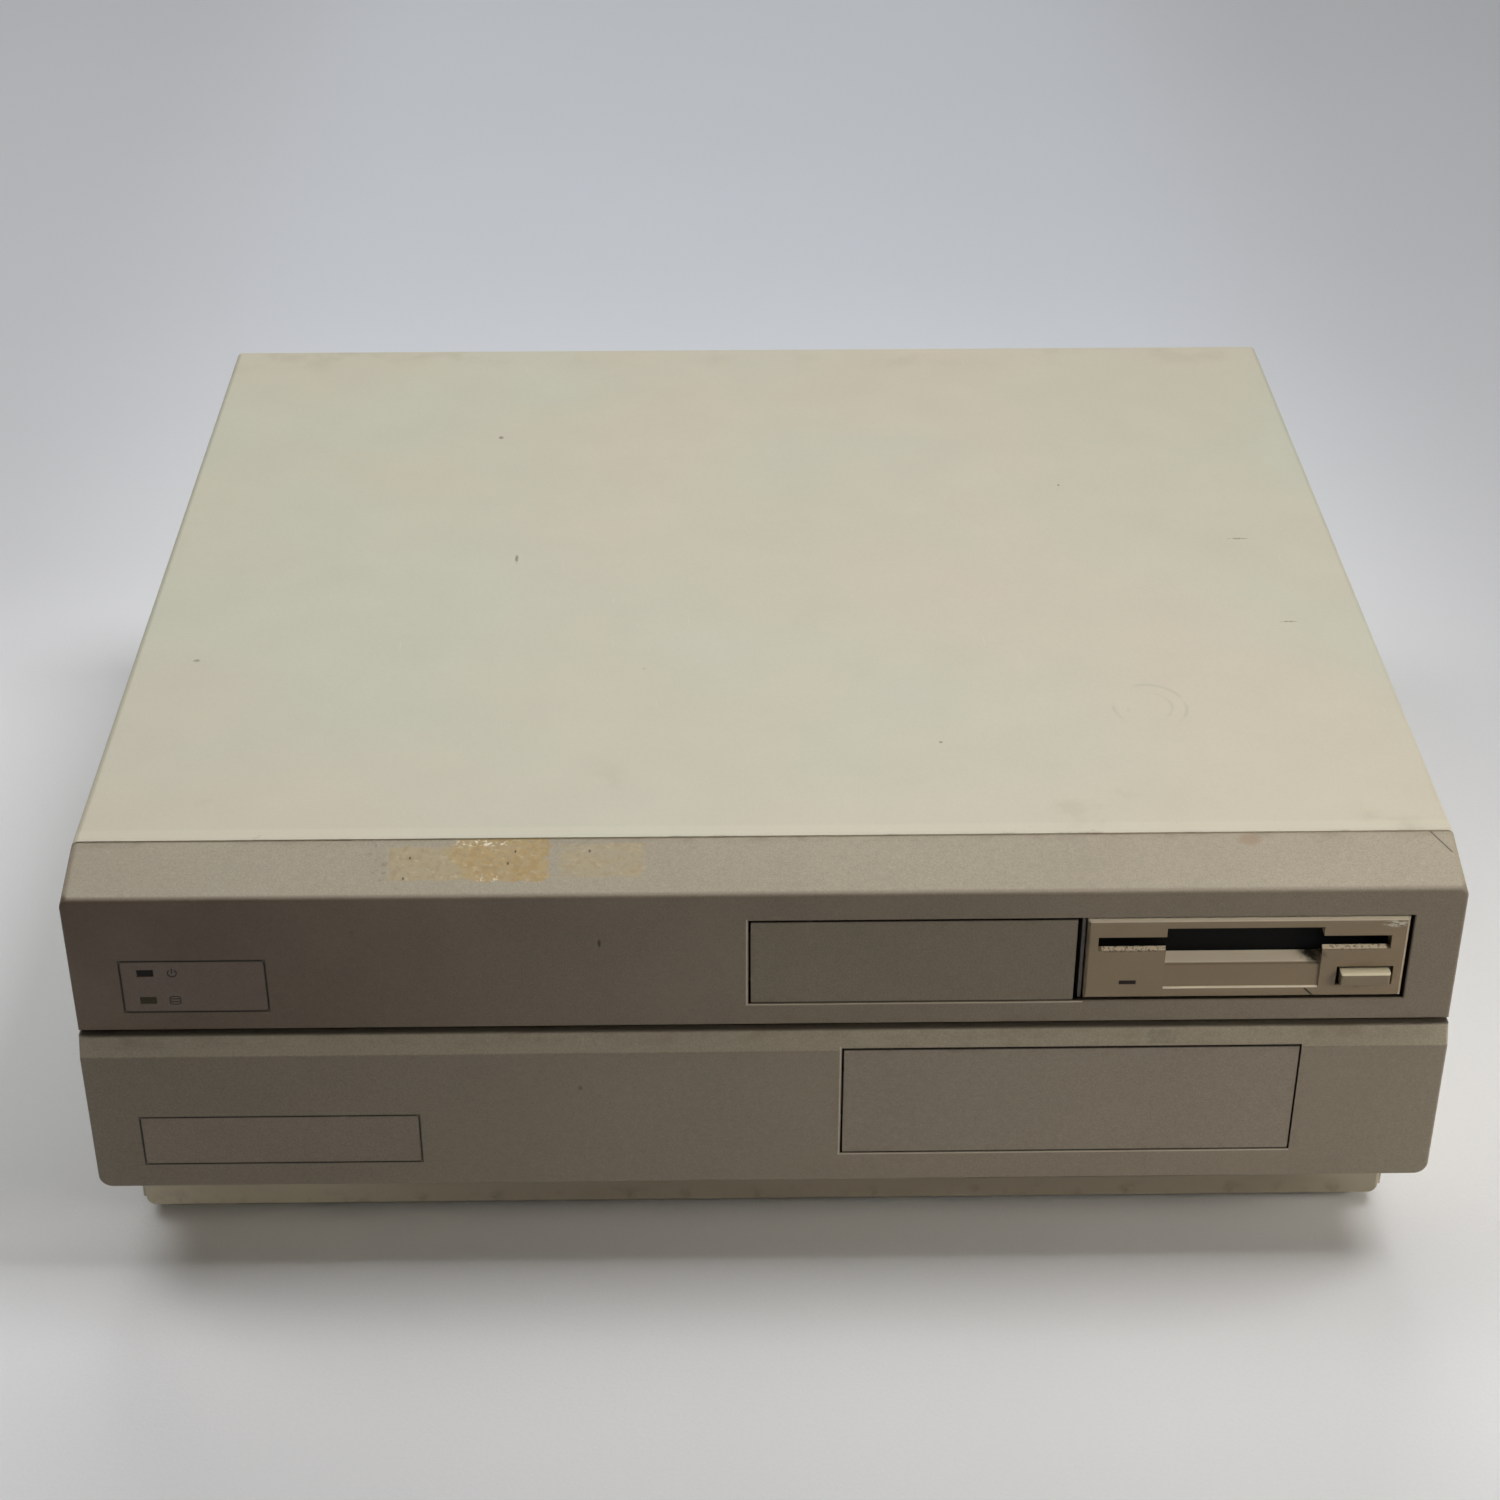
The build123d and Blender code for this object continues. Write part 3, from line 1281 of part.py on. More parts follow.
def make_dust_flap():
    """Flap behind the disk slot and the grip, hung on two pins."""
    half = disk_slot_width / 2 + flap_margin
    front = bezel_back_y + slip
    low = flap_low_z()
    plate = block(slot_x - half, slot_x + half, front, front + flap_thickness, low, flap_z())
    plate += rod_x(flap_y(), flap_z(), slot_x - half, slot_x + half, 1.0)
    return plate + rod_x(flap_y(), flap_z(), slot_x - half - 1.8, slot_x + half + 1.8, flap_pin_radius)


def make_eject_button():
    """Button with a stem through the bezel and a shoulder behind it."""
    x = bezel_x + button_offset
    low = bezel_low_z + button_low
    face = upper_face_y - button_reach
    cap = block(x - button_width / 2, x + button_width / 2, face, bezel_back_y + slip + 0.1, low,
                low + button_height)
    cap = fillet(cap.faces().sort_by(Axis.Y)[0].edges(), 0.6)
    shoulder = 1.2
    return cap + block(x - button_width / 2 - shoulder, x + button_width / 2 + shoulder, bezel_back_y + slip,
                       bezel_back_y + slip + shoulder, low - shoulder, low + button_height + shoulder)


def make_floppy_frame():
    """Cast tray with side walls, a spindle bearing and posts."""
    left = bezel_x - drive_width / 2
    front = bezel_back_y
    low = shelf_z
    w = drive_wall
    tray = block(left, left + drive_width, front, front + drive_length, low, low + drive_height)
    tray -= block(left + w, left + drive_width - w, front - 1, front + drive_length + 1, low + w,
                  low + drive_height + 1)
    tray -= block(left - 1, left + drive_width + 1, front - 1, ear_back_y() + slip,
                  flap_low_z() - flap_margin, low + drive_height + 1)
    play = cradle_pin_radius + running
    for y in cradle_pin_ys():
        tray -= block(left - 1, left + drive_width + 1, y - play, y + play, cradle_pin_z() - play,
                      cradle_pin_z() + cradle_lift + cradle_pin_radius + slip)
    tray += rod_z(slot_x, spindle_y, low, low + w + 3, hub_shaft_radius + 3)
    tray -= rod_z(slot_x, spindle_y, low - 1, low + w + 4, hub_shaft_radius + running)
    screw_x = slot_x + lead_offset
    motor_y = lead_screw_back_y()
    tray += block(screw_x - stepper_radius, screw_x + stepper_radius, motor_y, motor_y + stepper_length,
                  low + w / 2, lead_screw_z() - stepper_radius * 0.7)
    tray -= rod_y(screw_x, lead_screw_z(), motor_y - 1, motor_y + stepper_length + 1, stepper_radius)
    bearing_y = motor_y - lead_screw_length
    tray += block(screw_x - 4, screw_x + 4, bearing_y - 3, bearing_y, low + w / 2, lead_screw_z() + 3)
    tray -= rod_y(screw_x, lead_screw_z(), bearing_y - 4, bearing_y + 1, lead_screw_radius + running)
    rail_x = slot_x - lead_offset * 0.5
    tray += block(rail_x - 4, rail_x + 4, bearing_y - 3, bearing_y, low + w / 2, lead_screw_z() + 3)
    tray += block(rail_x - 4, rail_x + 4, motor_y, motor_y + 3, low + w / 2, lead_screw_z() + 3)
    tray += rod_y(rail_x, lead_screw_z(), bearing_y - 1, motor_y + 1, lead_screw_radius)
    return tray


def lead_screw_z():
    """Height of the lead screw's axis."""
    return shelf_z + drive_wall + 9.5


def lead_screw_back_y():
    """Front of the stepper motor."""
    return bezel_back_y + drive_length - stepper_length - 10


def make_stepper_motor():
    """Motor of the head carriage, with a bore for its shaft."""
    y = lead_screw_back_y()
    x = slot_x + lead_offset
    body = rod_y(x, lead_screw_z(), y, y + stepper_length, stepper_radius - screw_play)
    return body - rod_y(x, lead_screw_z(), y - 1, y + stepper_length * 0.7, lead_screw_radius + running)


def make_lead_screw():
    """Threaded shaft from the front bearing into the motor."""
    y = lead_screw_back_y()
    x = slot_x + lead_offset
    shaft = rod_y(x, lead_screw_z(), y - lead_screw_length - 2, y + stepper_length * 0.6, lead_screw_radius)
    collar = 1.0
    front = y - lead_screw_length + slip
    return shaft + rod_y(x, lead_screw_z(), front, front + collar, lead_screw_radius + collar)


def make_head_carriage():
    """Carriage on the lead screw and rail, with the lower head and the upper head's arm."""
    x = slot_x
    z = lead_screw_z()
    back = lead_screw_back_y() - 3
    body = block(x - carriage_width / 2, x + carriage_width * 0.68, back - carriage_length, back, z - 3.5,
                 z + 3.5)
    body -= rod_y(x + lead_offset, z, back - carriage_length - 1, back + 1, lead_screw_radius + running)
    body -= rod_y(x - lead_offset * 0.5, z, back - carriage_length - 1, back + 1, lead_screw_radius + running)
    head_reach = 14.0
    body += block(x - 4, x + 4, back - carriage_length - head_reach, back - 2, z + 1, z + 5)
    return body


def make_spindle_hub():
    """Flat outer rotor with the disk's chuck on top and a shaft in the tray's bearing."""
    low = shelf_z + drive_wall + 3 + slip
    top = cradle_low_z() - slip - cradle_sheet
    hub = rod_z(slot_x, spindle_y, low, low + hub_motor_height, hub_motor_radius)
    hub += rod_z(slot_x, spindle_y, low, top, hub_radius)
    hub += rod_z(slot_x, spindle_y, shelf_z + slip, low + 1, hub_shaft_radius)
    pin_radius = 1.2
    return hub + rod_z(slot_x + hub_radius * 0.7, spindle_y, top - 1, top + cradle_sheet, pin_radius)


def cradle_low_z():
    """Inner floor of the disk cradle at rest: it lifts to the level of the slot."""
    return disk_slot_z - cradle_lift


def cradle_front_y():
    """Front of the disk cradle, clear of the swinging flap."""
    return flap_y() + flap_z() - flap_low_z() + 1.5


def cradle_pin_ys():
    """y of the cradle's guide pins."""
    return (cradle_front_y() + cradle_pin_inset, cradle_front_y() + cradle_length - cradle_pin_inset)


def cradle_pin_z():
    """Height of the cradle's guide pins at rest."""
    return cradle_low_z() + cradle_inner_height / 2


def make_disk_cradle():
    """Tray that takes the disk: a plate above it and a channel along each side."""
    s = cradle_sheet
    half = cradle_inner_width / 2
    low = cradle_low_z()
    front = cradle_front_y()
    back = front + cradle_length
    top = low + cradle_inner_height
    cradle = block(slot_x - half - s, slot_x + half + s, front, back, top, top + s)
    lip = 5.0
    for side in (-1, 1):
        wall = slot_x + side * half
        cradle += block(min(wall, wall + side * s), max(wall, wall + side * s), front, back, low - s,
                        top + s / 2)
        cradle += block(min(wall + side * s, wall - side * lip), max(wall + side * s, wall - side * lip),
                        front, back, low - s, low)
    cradle -= block(slot_x - 6, slot_x + 6, back - 40, back - 8, top - 1, top + 2 * s)
    tray_half = drive_width / 2 - slip
    for y in cradle_pin_ys():
        cradle += rod_x(y, cradle_pin_z(), bezel_x - tray_half, slot_x - half, cradle_pin_radius)
        cradle += rod_x(y, cradle_pin_z(), slot_x + half, bezel_x + tray_half, cradle_pin_radius)
    return cradle


def make_floppy_lid():
    """Thin sheet over the drive."""
    left = bezel_x - drive_width / 2
    low = shelf_z + drive_height
    front = bezel_back_y + flange
    return block(left, left + drive_width, front, bezel_back_y + drive_length - flange, low, low + lid_sheet)


def make_floppy_board():
    """Circuit board at the back of the tray, with the two headers."""
    left = bezel_x - drive_width / 2 + drive_wall + slip
    rear = bezel_back_y + drive_length
    low = shelf_z + drive_wall
    back = rear - floppy_board_gap
    front = back - floppy_board_length
    top = low + board_thickness
    board = block(left, left + floppy_board_width, front, back, low, top)
    x = left + 2
    width, length, height = floppy_header_size
    header = block(x, x + width, back + 1 - length, back + 1, top, top + height)
    x = left + (floppy_board_width - floppy_chip_size[0]) / 2
    y = front + 10
    width, length, height = floppy_chip_size
    chip = block(x, x + width, y, y + length, top, top + height)
    return board + header + chip


# ---- hard disk -------------------------------------------------------------------------------------------
def hard_disk_left():
    """Left side of the hard disk, between the cage's wall and the divider."""
    return (cage_left + cage_sheet + divider_left_x - disk_drive_width) / 2


def platter_axis():
    """(x, y) of the platters' axis."""
    return (hard_disk_left() + disk_drive_width / 2, hard_disk_front() + platter_front)


def hard_disk_front():
    return shield_y + disk_setback


def arm_pivot():
    """(x, y) of the head arm's axis."""
    x, y = platter_axis()
    return (x + arm_offset_x, y + arm_offset_y)


def platter_level(index):
    """Underside of one platter."""
    return shelf_z + disk_floor + 3 + index * platter_gap


def make_hard_disk_casting():
    """Cast body with the chamber of the platters, their post and the arm's post."""
    left = hard_disk_left()
    front = hard_disk_front()
    low = shelf_z
    w = disk_drive_wall
    top = low + disk_drive_height - lid_sheet
    body = block(left, left + disk_drive_width, front, front + disk_drive_length, low, top)
    body = fillet(body.edges().filter_by(Axis.Z), w)
    chamber = block(left + w, left + disk_drive_width - w, front + w, front + disk_drive_length - 12,
                    low + disk_floor, top + 1)
    body -= fillet(chamber.edges().filter_by(Axis.Z), 3 * w)
    x, y = platter_axis()
    body += rod_z(x, y, low + disk_floor - 1, top - 1, platter_post_radius)
    px, py = arm_pivot()
    return body + rod_z(px, py, low + disk_floor - 1, top - 1, arm_post_radius)


def make_hard_disk_lid():
    left = hard_disk_left()
    front = hard_disk_front()
    top = shelf_z + disk_drive_height
    lid = block(left, left + disk_drive_width, front, front + disk_drive_length, top - lid_sheet, top)
    return fillet(lid.edges().filter_by(Axis.Z), disk_drive_wall)


def make_platters():
    """Two platters on one hub, turning on the casting's post."""
    x, y = platter_axis()
    base = shelf_z + disk_floor + slip
    top = platter_level(1) + platter_thickness + 2
    stack = rod_z(x, y, base, top, platter_hub_radius)
    for index in range(2):
        z = platter_level(index)
        stack += rod_z(x, y, z, z + platter_thickness, platter_radius)
    return stack - rod_z(x, y, base - 1, top + 1, platter_post_radius + running)


def make_head_arm():
    """Swinging arm with a finger above each platter."""
    px, py = arm_pivot()
    base = shelf_z + disk_floor + slip
    top = platter_level(1) + platter_thickness + 1 + arm_thickness
    arm = rod_z(px, py, base, top, arm_width)
    towards = degrees(atan2(-arm_offset_y, -arm_offset_x)) - arm_rest
    for index in range(2):
        low = platter_level(index) + platter_thickness + 1
        finger = Pos(arm_length / 2, 0, low + arm_thickness / 2) * Box(arm_length, arm_width, arm_thickness)
        arm += Pos(px, py, 0) * Rot(0, 0, towards) * finger
    tail_length = 16.0
    tail = Pos(-tail_length / 2, 0, base + 4) * Box(tail_length, 2 * arm_width, 5)
    arm += Pos(px, py, 0) * Rot(0, 0, towards) * tail
    return arm - rod_z(px, py, base - 1, top + 1, arm_post_radius + running)


# ---- power supply ----------------------------------------------------------------------------------------
def supply_cutouts():
    """Openings of the fan, inlet and switch through the supply's rear wall and the rear panel."""
    y0 = rear_wall_y - 2 * sheet
    y1 = plinth_rear_y + 1
    cut = rod_y(fan_x, fan_z, y0, y1, fan_bore)
    half = fan_screw_pitch / 2
    for i in (-1, 1):
        for j in (-1, 1):
            cut += rod_y(fan_x + i * half, fan_z + j * half, y0, y1, hole_radius)
    body = inlet_wall + screw_play
    cut += block(inlet_x - inlet_width / 2 - body, inlet_x + inlet_width / 2 + body, y0, y1,
                 inlet_z - inlet_height / 2 - body, inlet_z + inlet_height / 2 + body)
    for side in (-1, 1):
        cut += rod_y(inlet_x + side * inlet_screw_half(), inlet_z, y0, y1, hole_radius)
    cut += block(switch_x - switch_width / 2 + switch_rim - screw_play,
                 switch_x + switch_width / 2 - switch_rim + screw_play, y0, y1,
                 switch_z - switch_height / 2 + switch_rim - screw_play,
                 switch_z + switch_height / 2 - switch_rim + screw_play)
    return cut


def inlet_screw_half():
    """Inlet's axis to each of its screws."""
    return 20.0


def make_supply_case():
    """Open-topped steel case on the cage's floor."""
    s = supply_sheet
    right = supply_right
    case = block(supply_left, right, supply_front_y, rear_wall_y, cage_floor, cage_floor + supply_height - s)
    case -= block(supply_left + s, right - s, supply_front_y + s, rear_wall_y - s, cage_floor + s,
                  cage_floor + supply_height + 1)
    for index in range(vent_count):
        x = supply_left + vent_inset + index * vent_pitch
        case -= block(x, x + vent_width, supply_front_y - 1, supply_front_y + 2 * s, cage_floor + vent_low,
                      cage_floor + vent_high)
    return case - supply_cutouts()


def make_supply_lid():
    top = cage_floor + supply_height
    return block(supply_left, supply_right, supply_front_y, rear_wall_y, top - supply_sheet, top)


def make_supply_board():
    """Circuit board of the supply, on edge strips."""
    right = supply_right - supply_sheet - slip
    low = cage_floor + supply_sheet
    top = low + supply_board_lift
    rear = rear_wall_y - supply_sheet - fan_depth - 8
    front = supply_front_y + supply_sheet + slip
    board = block(supply_left + supply_sheet + slip, right, front, rear, top, top + board_thickness)
    strip = 4.0
    for x in (supply_left + 1.5 * strip, right - 2 * strip):
        board += block(x, x + strip, front + strip, rear - strip, low, top + board_thickness / 2)
    return board


def make_supply_parts():
    """Transformer, choke and big capacitors on the supply's board."""
    z = supply_part_z
    y = supply_front_y + transformer_size[1] + 6
    choke_x = supply_right - choke_size[0]
    transformer_x = choke_x - choke_size[0] / 2 - transformer_size[0]
    parts = [
        Pos(transformer_x, y + 10, z + transformer_size[2] / 2) * Box(*transformer_size),
        Pos(choke_x, y, z + choke_size[2] / 2) * Box(*choke_size),
    ]
    x = supply_left + 2 * big_capacitor_radius + 4
    for side in (-1, 1):
        can_y = y + 3 + side * 1.25 * big_capacitor_radius
        parts.append(rod_z(x, can_y, z, z + big_capacitor_height, big_capacitor_radius))
    return group(parts)


def make_supply_heat_sinks():
    """Two finned aluminium plates."""
    sinks = []
    z = supply_part_z
    front = supply_front_y + heat_sink_setback
    fin_low = z + 2 * fin_reach
    for inset in heat_sink_insets:
        x = supply_left + inset
        sink = block(x, x + heat_sink_sheet, front, front + heat_sink_length, z, z + heat_sink_height)
        for index in range(fin_count):
            y = front + fin_sheet + index * fin_pitch
            sink += block(x + heat_sink_sheet / 2, x + heat_sink_sheet + fin_reach, y, y + fin_sheet, fin_low,
                          z + heat_sink_height)
        sinks.append(sink)
    return group(sinks)


def make_fan_frame():
    """Square frame with a round bore, four struts and the bearing tube."""
    half = fan_size / 2
    back = rear_wall_y - supply_sheet
    frame = block(fan_x - half, fan_x + half, back - fan_depth, back, fan_z - half, fan_z + half)
    frame = fillet(frame.edges().filter_by(Axis.Y), 3)
    frame -= rod_y(fan_x, fan_z, back - fan_depth - 1, back + 1, fan_bore)
    strut = 3.0
    for index in range(4):
        bar = Box(2 * fan_bore, strut, strut) if index % 2 else Box(strut, strut, 2 * fan_bore)
        bar &= rod_y(0, 0, -strut, strut, fan_bore + 1)
        frame += Pos(fan_x, back - fan_depth + strut / 2, fan_z) * bar
    frame += rod_y(fan_x, fan_z, back - fan_depth, back - fan_depth + strut, fan_hub_radius)
    tube = fan_shaft_radius + 2
    frame += rod_y(fan_x, fan_z, back - fan_depth, back - 8, tube)
    frame -= rod_y(fan_x, fan_z, back - fan_depth - 1, back - 7, fan_shaft_radius + running)
    for i in (-1, 1):
        for j in (-1, 1):
            frame -= rod_y(fan_x + i * fan_screw_pitch / 2, fan_z + j * fan_screw_pitch / 2,
                           back - fan_depth - 1, back + 1, hole_radius)
    return frame


def make_fan_rotor():
    """Cup-shaped hub with slanted blades and a shaft."""
    back = rear_wall_y - supply_sheet
    front = back - fan_depth + 3 + 1
    rear = back - 2
    hub = rod_y(fan_x, fan_z, front, rear, fan_hub_radius)
    hub -= rod_y(fan_x, fan_z, front - 1, rear - 3, fan_hub_radius - 2)
    hub += rod_y(fan_x, fan_z, front, rear - 2, fan_shaft_radius)
    span = fan_bore - fan_tip_gap
    depth = rear - front
    blade_width = (depth - 2 * fan_blade_thickness) / cos(radians(fan_blade_pitch)) * 0.95
    blade = Pos(0, 0, (fan_hub_radius - 1 + span) / 2) * (
        Rot(0, 0, 90 - fan_blade_pitch) * Box(blade_width, fan_blade_thickness, span - fan_hub_radius + 1))
    trim = rod_y(0, 0, -depth / 2, depth / 2, span) - rod_y(0, 0, -depth, depth, fan_hub_radius - 0.5)
    blade = blade & trim
    for index in range(fan_blade_count):
        turn = Rot(0, 360 / fan_blade_count * index, 0)
        hub += Pos(fan_x, (front + rear) / 2, fan_z) * (turn * blade)
    return hub


def make_fan_guard():
    """Wire guard outside the rear wall: rings on two bars, with an eye at each screw."""
    y = plinth_rear_y + guard_wire
    guard = None
    reach = fan_screw_pitch / 2 * 1.41421
    for angle in (45, -45):
        length = 2 * (reach - screw_head_radius - slip)
        bar = Pos(fan_x, y, fan_z) * (Rot(0, angle, 0) * Cylinder(guard_wire, length))
        guard = bar if guard is None else guard + bar
    for index in range(guard_ring_count):
        radius = fan_bore * (index + 1) / guard_ring_count - guard_wire
        guard += Pos(fan_x, y + guard_wire * 0.7, fan_z) * (Rot(90, 0, 0) * Torus(radius, guard_wire))
    half = fan_screw_pitch / 2
    for i in (-1, 1):
        for j in (-1, 1):
            eye = rod_y(fan_x + i * half, fan_z + j * half, plinth_rear_y, plinth_rear_y + guard_eye,
                        screw_head_radius + guard_eye_rim)
            guard += eye - rod_y(fan_x + i * half, fan_z + j * half, plinth_rear_y - 1, plinth_rear_y + 3,
                                 hole_radius)
    return guard


def make_mains_inlet():
    """Recessed three-pole inlet with its flange outside the rear wall."""
    w = inlet_wall
    y = plinth_rear_y
    body = block(inlet_x - inlet_width / 2 - w, inlet_x + inlet_width / 2 + w, y - inlet_depth - w, y + w / 2,
                 inlet_z - inlet_height / 2 - w, inlet_z + inlet_height / 2 + w)
    body += tile(inlet_x, inlet_z, inlet_flange_width, inlet_flange_height, y, y + w, 3)
    cavity = block(inlet_x - inlet_width / 2, inlet_x + inlet_width / 2, y - inlet_depth, y + w + 1,
                   inlet_z - inlet_height / 2, inlet_z + inlet_height / 2)
    upper = cavity.edges().filter_by(Axis.Y).group_by(Axis.Z)[-1]
    body -= chamfer(upper, inlet_height / 4)
    pin_width = 2.0
    pin_height = 4.0
    pin_length = inlet_depth - 6
    for x, z in ((-7, -2), (7, -2), (0, 2)):
        body += block(inlet_x + x - pin_width / 2, inlet_x + x + pin_width / 2, y - inlet_depth - w / 2,
                      y - inlet_depth + pin_length, inlet_z + z - pin_height / 2, inlet_z + z + pin_height / 2)
    for side in (-1, 1):
        body -= rod_y(inlet_x + side * inlet_screw_half(), inlet_z, y - 1, y + w + 1, hole_radius)
    return body


def switch_axis():
    """(y, z) of the rocker's pivot."""
    return (plinth_rear_y - 2.0, switch_z)


def make_switch_frame():
    """Snap-in frame of the mains switch."""
    y = plinth_rear_y
    rim = switch_rim
    half_x = switch_width / 2
    half_z = switch_height / 2
    frame = tile(switch_x, switch_z, switch_width, switch_height, y, y + rim, rim)
    frame += block(switch_x - half_x + rim, switch_x + half_x - rim, y - switch_depth, y + rim / 2,
                   switch_z - half_z + rim, switch_z + half_z - rim)
    frame -= block(switch_x - half_x + 2 * rim, switch_x + half_x - 2 * rim, y - switch_depth + rim,
                   y + rim + 1,
                   switch_z - half_z + 2 * rim, switch_z + half_z - 2 * rim)
    py, pz = switch_axis()
    frame -= rod_x(py, pz, switch_x - half_x + rim / 2 + 0.5, switch_x + half_x - rim / 2 - 0.5,
                   rocker_pin_radius + running)
    return frame


def make_power_rocker():
    """Rocker tipped to its off side, on two pins."""
    py, pz = switch_axis()
    half_x = switch_width / 2 - 2 * switch_rim - slip
    half_z = switch_height / 2 - 2 * switch_rim - 4 * slip
    reach = 3.2
    depth = 5.0
    outline = [(-depth, -half_z * 0.6), (-depth, half_z * 0.6), (0, half_z), (reach + 1.5, half_z),
               (reach - 0.6, 0), (reach + 1.5, -half_z), (0, -half_z)]
    rocker = prism_x(outline, -half_x, half_x)
    rocker += rod_x(0, 0, -half_x - switch_rim + 0.5, half_x + switch_rim - 0.5, rocker_pin_radius)
    return Pos(switch_x, py, pz) * (Rot(-rocker_tilt, 0, 0) * rocker)


# ---- cables ----------------------------------------------------------------------------------------------
def ribbon(points, width_from, width_to, thickness, bend):
    """Flat cable along a (y, z) path in one plane."""
    path = FilletPolyline(*[(0, y, z) for y, z in points], radius=bend)
    strip = trace_yz(path, thickness)
    return Pos(width_from, 0, 0) * extrude(strip, amount=width_to - width_from, dir=(1, 0, 0))


def trace_yz(path, thickness):
    """Band of even thickness along a path in the YZ plane."""
    flat = Plane.YZ
    local = flat.to_local_coords(path)
    band = trace(local, line_width=thickness)
    return flat * band


def make_floppy_ribbon():
    """From the floppy drive's header down through the cage's floor to the main board."""
    left = bezel_x - drive_width / 2 + drive_wall + slip + 4
    rear = bezel_back_y + drive_length
    z = shelf_z + drive_wall + board_thickness + floppy_header_size[2] / 2
    down_y = cable_port_middle
    top = board_top_z + ribbon_header_height
    points = [(rear - 1, z), (down_y, z), (down_y, top)]
    band = ribbon(points, left, left + floppy_ribbon_width, ribbon_thickness, ribbon_bend)
    header = block(left - 1, left + floppy_ribbon_width + 1, down_y - ribbon_header_half,
                   down_y + ribbon_header_half, board_top_z, top)
    return group([band + header])


def make_power_loom():
    """Bundle from the supply's front wall down to the main board."""
    beside_chip = second_chip_x + custom_chip_size[0] / 2 + chip_plug_gap + power_plug_half
    x = max(supply_left + loom_inset, beside_chip)
    z = cage_floor + loom_inset
    down_y = cable_port_front + cable_port_length - loom_port_gap
    top = board_top_z + power_plug_height
    corners = [(x, supply_front_y, z), (x, down_y, z), (x, down_y, top - loom_sink)]
    path = FilletPolyline(*corners, radius=loom_bend)
    start = Plane(origin=path @ 0, z_dir=path % 0)
    bundle = sweep(start * Circle(loom_radius), path=path)
    half = power_plug_depth / 2
    plug = block(x - power_plug_half, x + power_plug_half, down_y - half, down_y + half, board_top_z, top)
    return bundle + plug


def make_hard_disk_ribbon():
    """From the back of the hard disk, folded to run left over the cage's wall to the controller card."""
    t = 1.2
    left = hard_disk_left() + 20
    width = 50.0
    rear = hard_disk_front() + disk_drive_length
    z = shelf_z + disk_drive_height + 3
    fold_y = rear + 4
    card_x = slot_places()[card_slot] + card_thickness / 2
    plug = block(left, left + width, rear, rear + 4, shelf_z + 4, z + t)
    out = block(left, left + width, rear + 2, fold_y + width, z, z + t)
    across = block(card_x + 9, left + width, fold_y, fold_y + width, z + t, z + 2 * t)
    header_low = z - 22
    drop = block(card_x + 8, card_x + 9 + t, fold_y, fold_y + width, header_low, z + 2 * t)
    header = block(card_x, card_x + 9, fold_y, fold_y + width, header_low, header_low + 8)
    return plug + out + across + drop + header


# ---- build -----------------------------------------------------------------------------------------------
def main():
    save("top_cover", make_top_cover())
    save("front_fascia", make_front_fascia())
    save("small_bay_blank", make_small_bay_blank())
    save("large_bay_blank", make_large_bay_blank())
    save("indicator_panel", make_indicator_panel())
    save("indicator_lights", group([light_block(skirt_z + z, 0) for z in (upper_light_z, lower_light_z)]))
    save("name_plate", make_name_plate())
    save("base_pan", make_base_pan())
    save("front_shield", make_front_shield())
    save("rear_panel", make_rear_panel())
    save("rubber_feet", make_rubber_feet())
    save("outer_screws", make_outer_screws())
    save("chassis_screws", make_chassis_screws())
    save("main_board", make_main_board())
    save("board_standoffs", make_board_standoffs())
    save("chip_sockets", make_chip_sockets())
    save("main_chips", make_main_chips())
    save("board_capacitors", make_board_capacitors())
    save("expansion_connectors", make_expansion_connectors())
    save("slot_covers", make_slot_covers())
    save("controller_card", make_controller_card())
    for name, x, pins, male in rear_ports():
        save(name, d_connector(x, pins, male, rear_wall_y, 1))
    save("audio_jacks", make_audio_jacks())
    save("port_jackscrews", make_jackscrews())
    save("keyboard_socket", make_keyboard_socket())
    save("controller_ports", make_controller_ports())
    save("drive_cage", make_drive_cage())
    save("floppy_frame", make_floppy_frame())
    save("floppy_lid", make_floppy_lid())
    save("floppy_bezel", make_floppy_bezel())
    save("floppy_light", drive_light(0, 0))
    save("floppy_board", make_floppy_board())
    save("eject_button", make_eject_button())
    save("dust_flap", make_dust_flap())
    save("disk_cradle", make_disk_cradle())
    save("spindle_hub", make_spindle_hub())
    save("stepper_motor", make_stepper_motor())
    save("lead_screw", make_lead_screw())
    save("head_carriage", make_head_carriage())
    save("hard_disk_casting", make_hard_disk_casting())
    save("hard_disk_lid", make_hard_disk_lid())
    save("hard_disk_platters", make_platters())
    save("head_arm", make_head_arm())
    save("supply_case", make_supply_case())
    save("supply_lid", make_supply_lid())
    save("supply_board", make_supply_board())
    save("supply_parts", make_supply_parts())
    save("supply_heat_sinks", make_supply_heat_sinks())
    save("fan_frame", make_fan_frame())
    save("fan_rotor", make_fan_rotor())
    save("fan_guard", make_fan_guard())
    save("mains_inlet", make_mains_inlet())
    save("switch_frame", make_switch_frame())
    save("power_rocker", make_power_rocker())
    save("floppy_ribbon", make_floppy_ribbon())
    save("power_loom", make_power_loom())
    save("hard_disk_ribbon", make_hard_disk_ribbon())


main()
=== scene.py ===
from functools import reduce
from math import atan, cos, pi, radians, sin

import bpy
from mathutils import Matrix, Vector


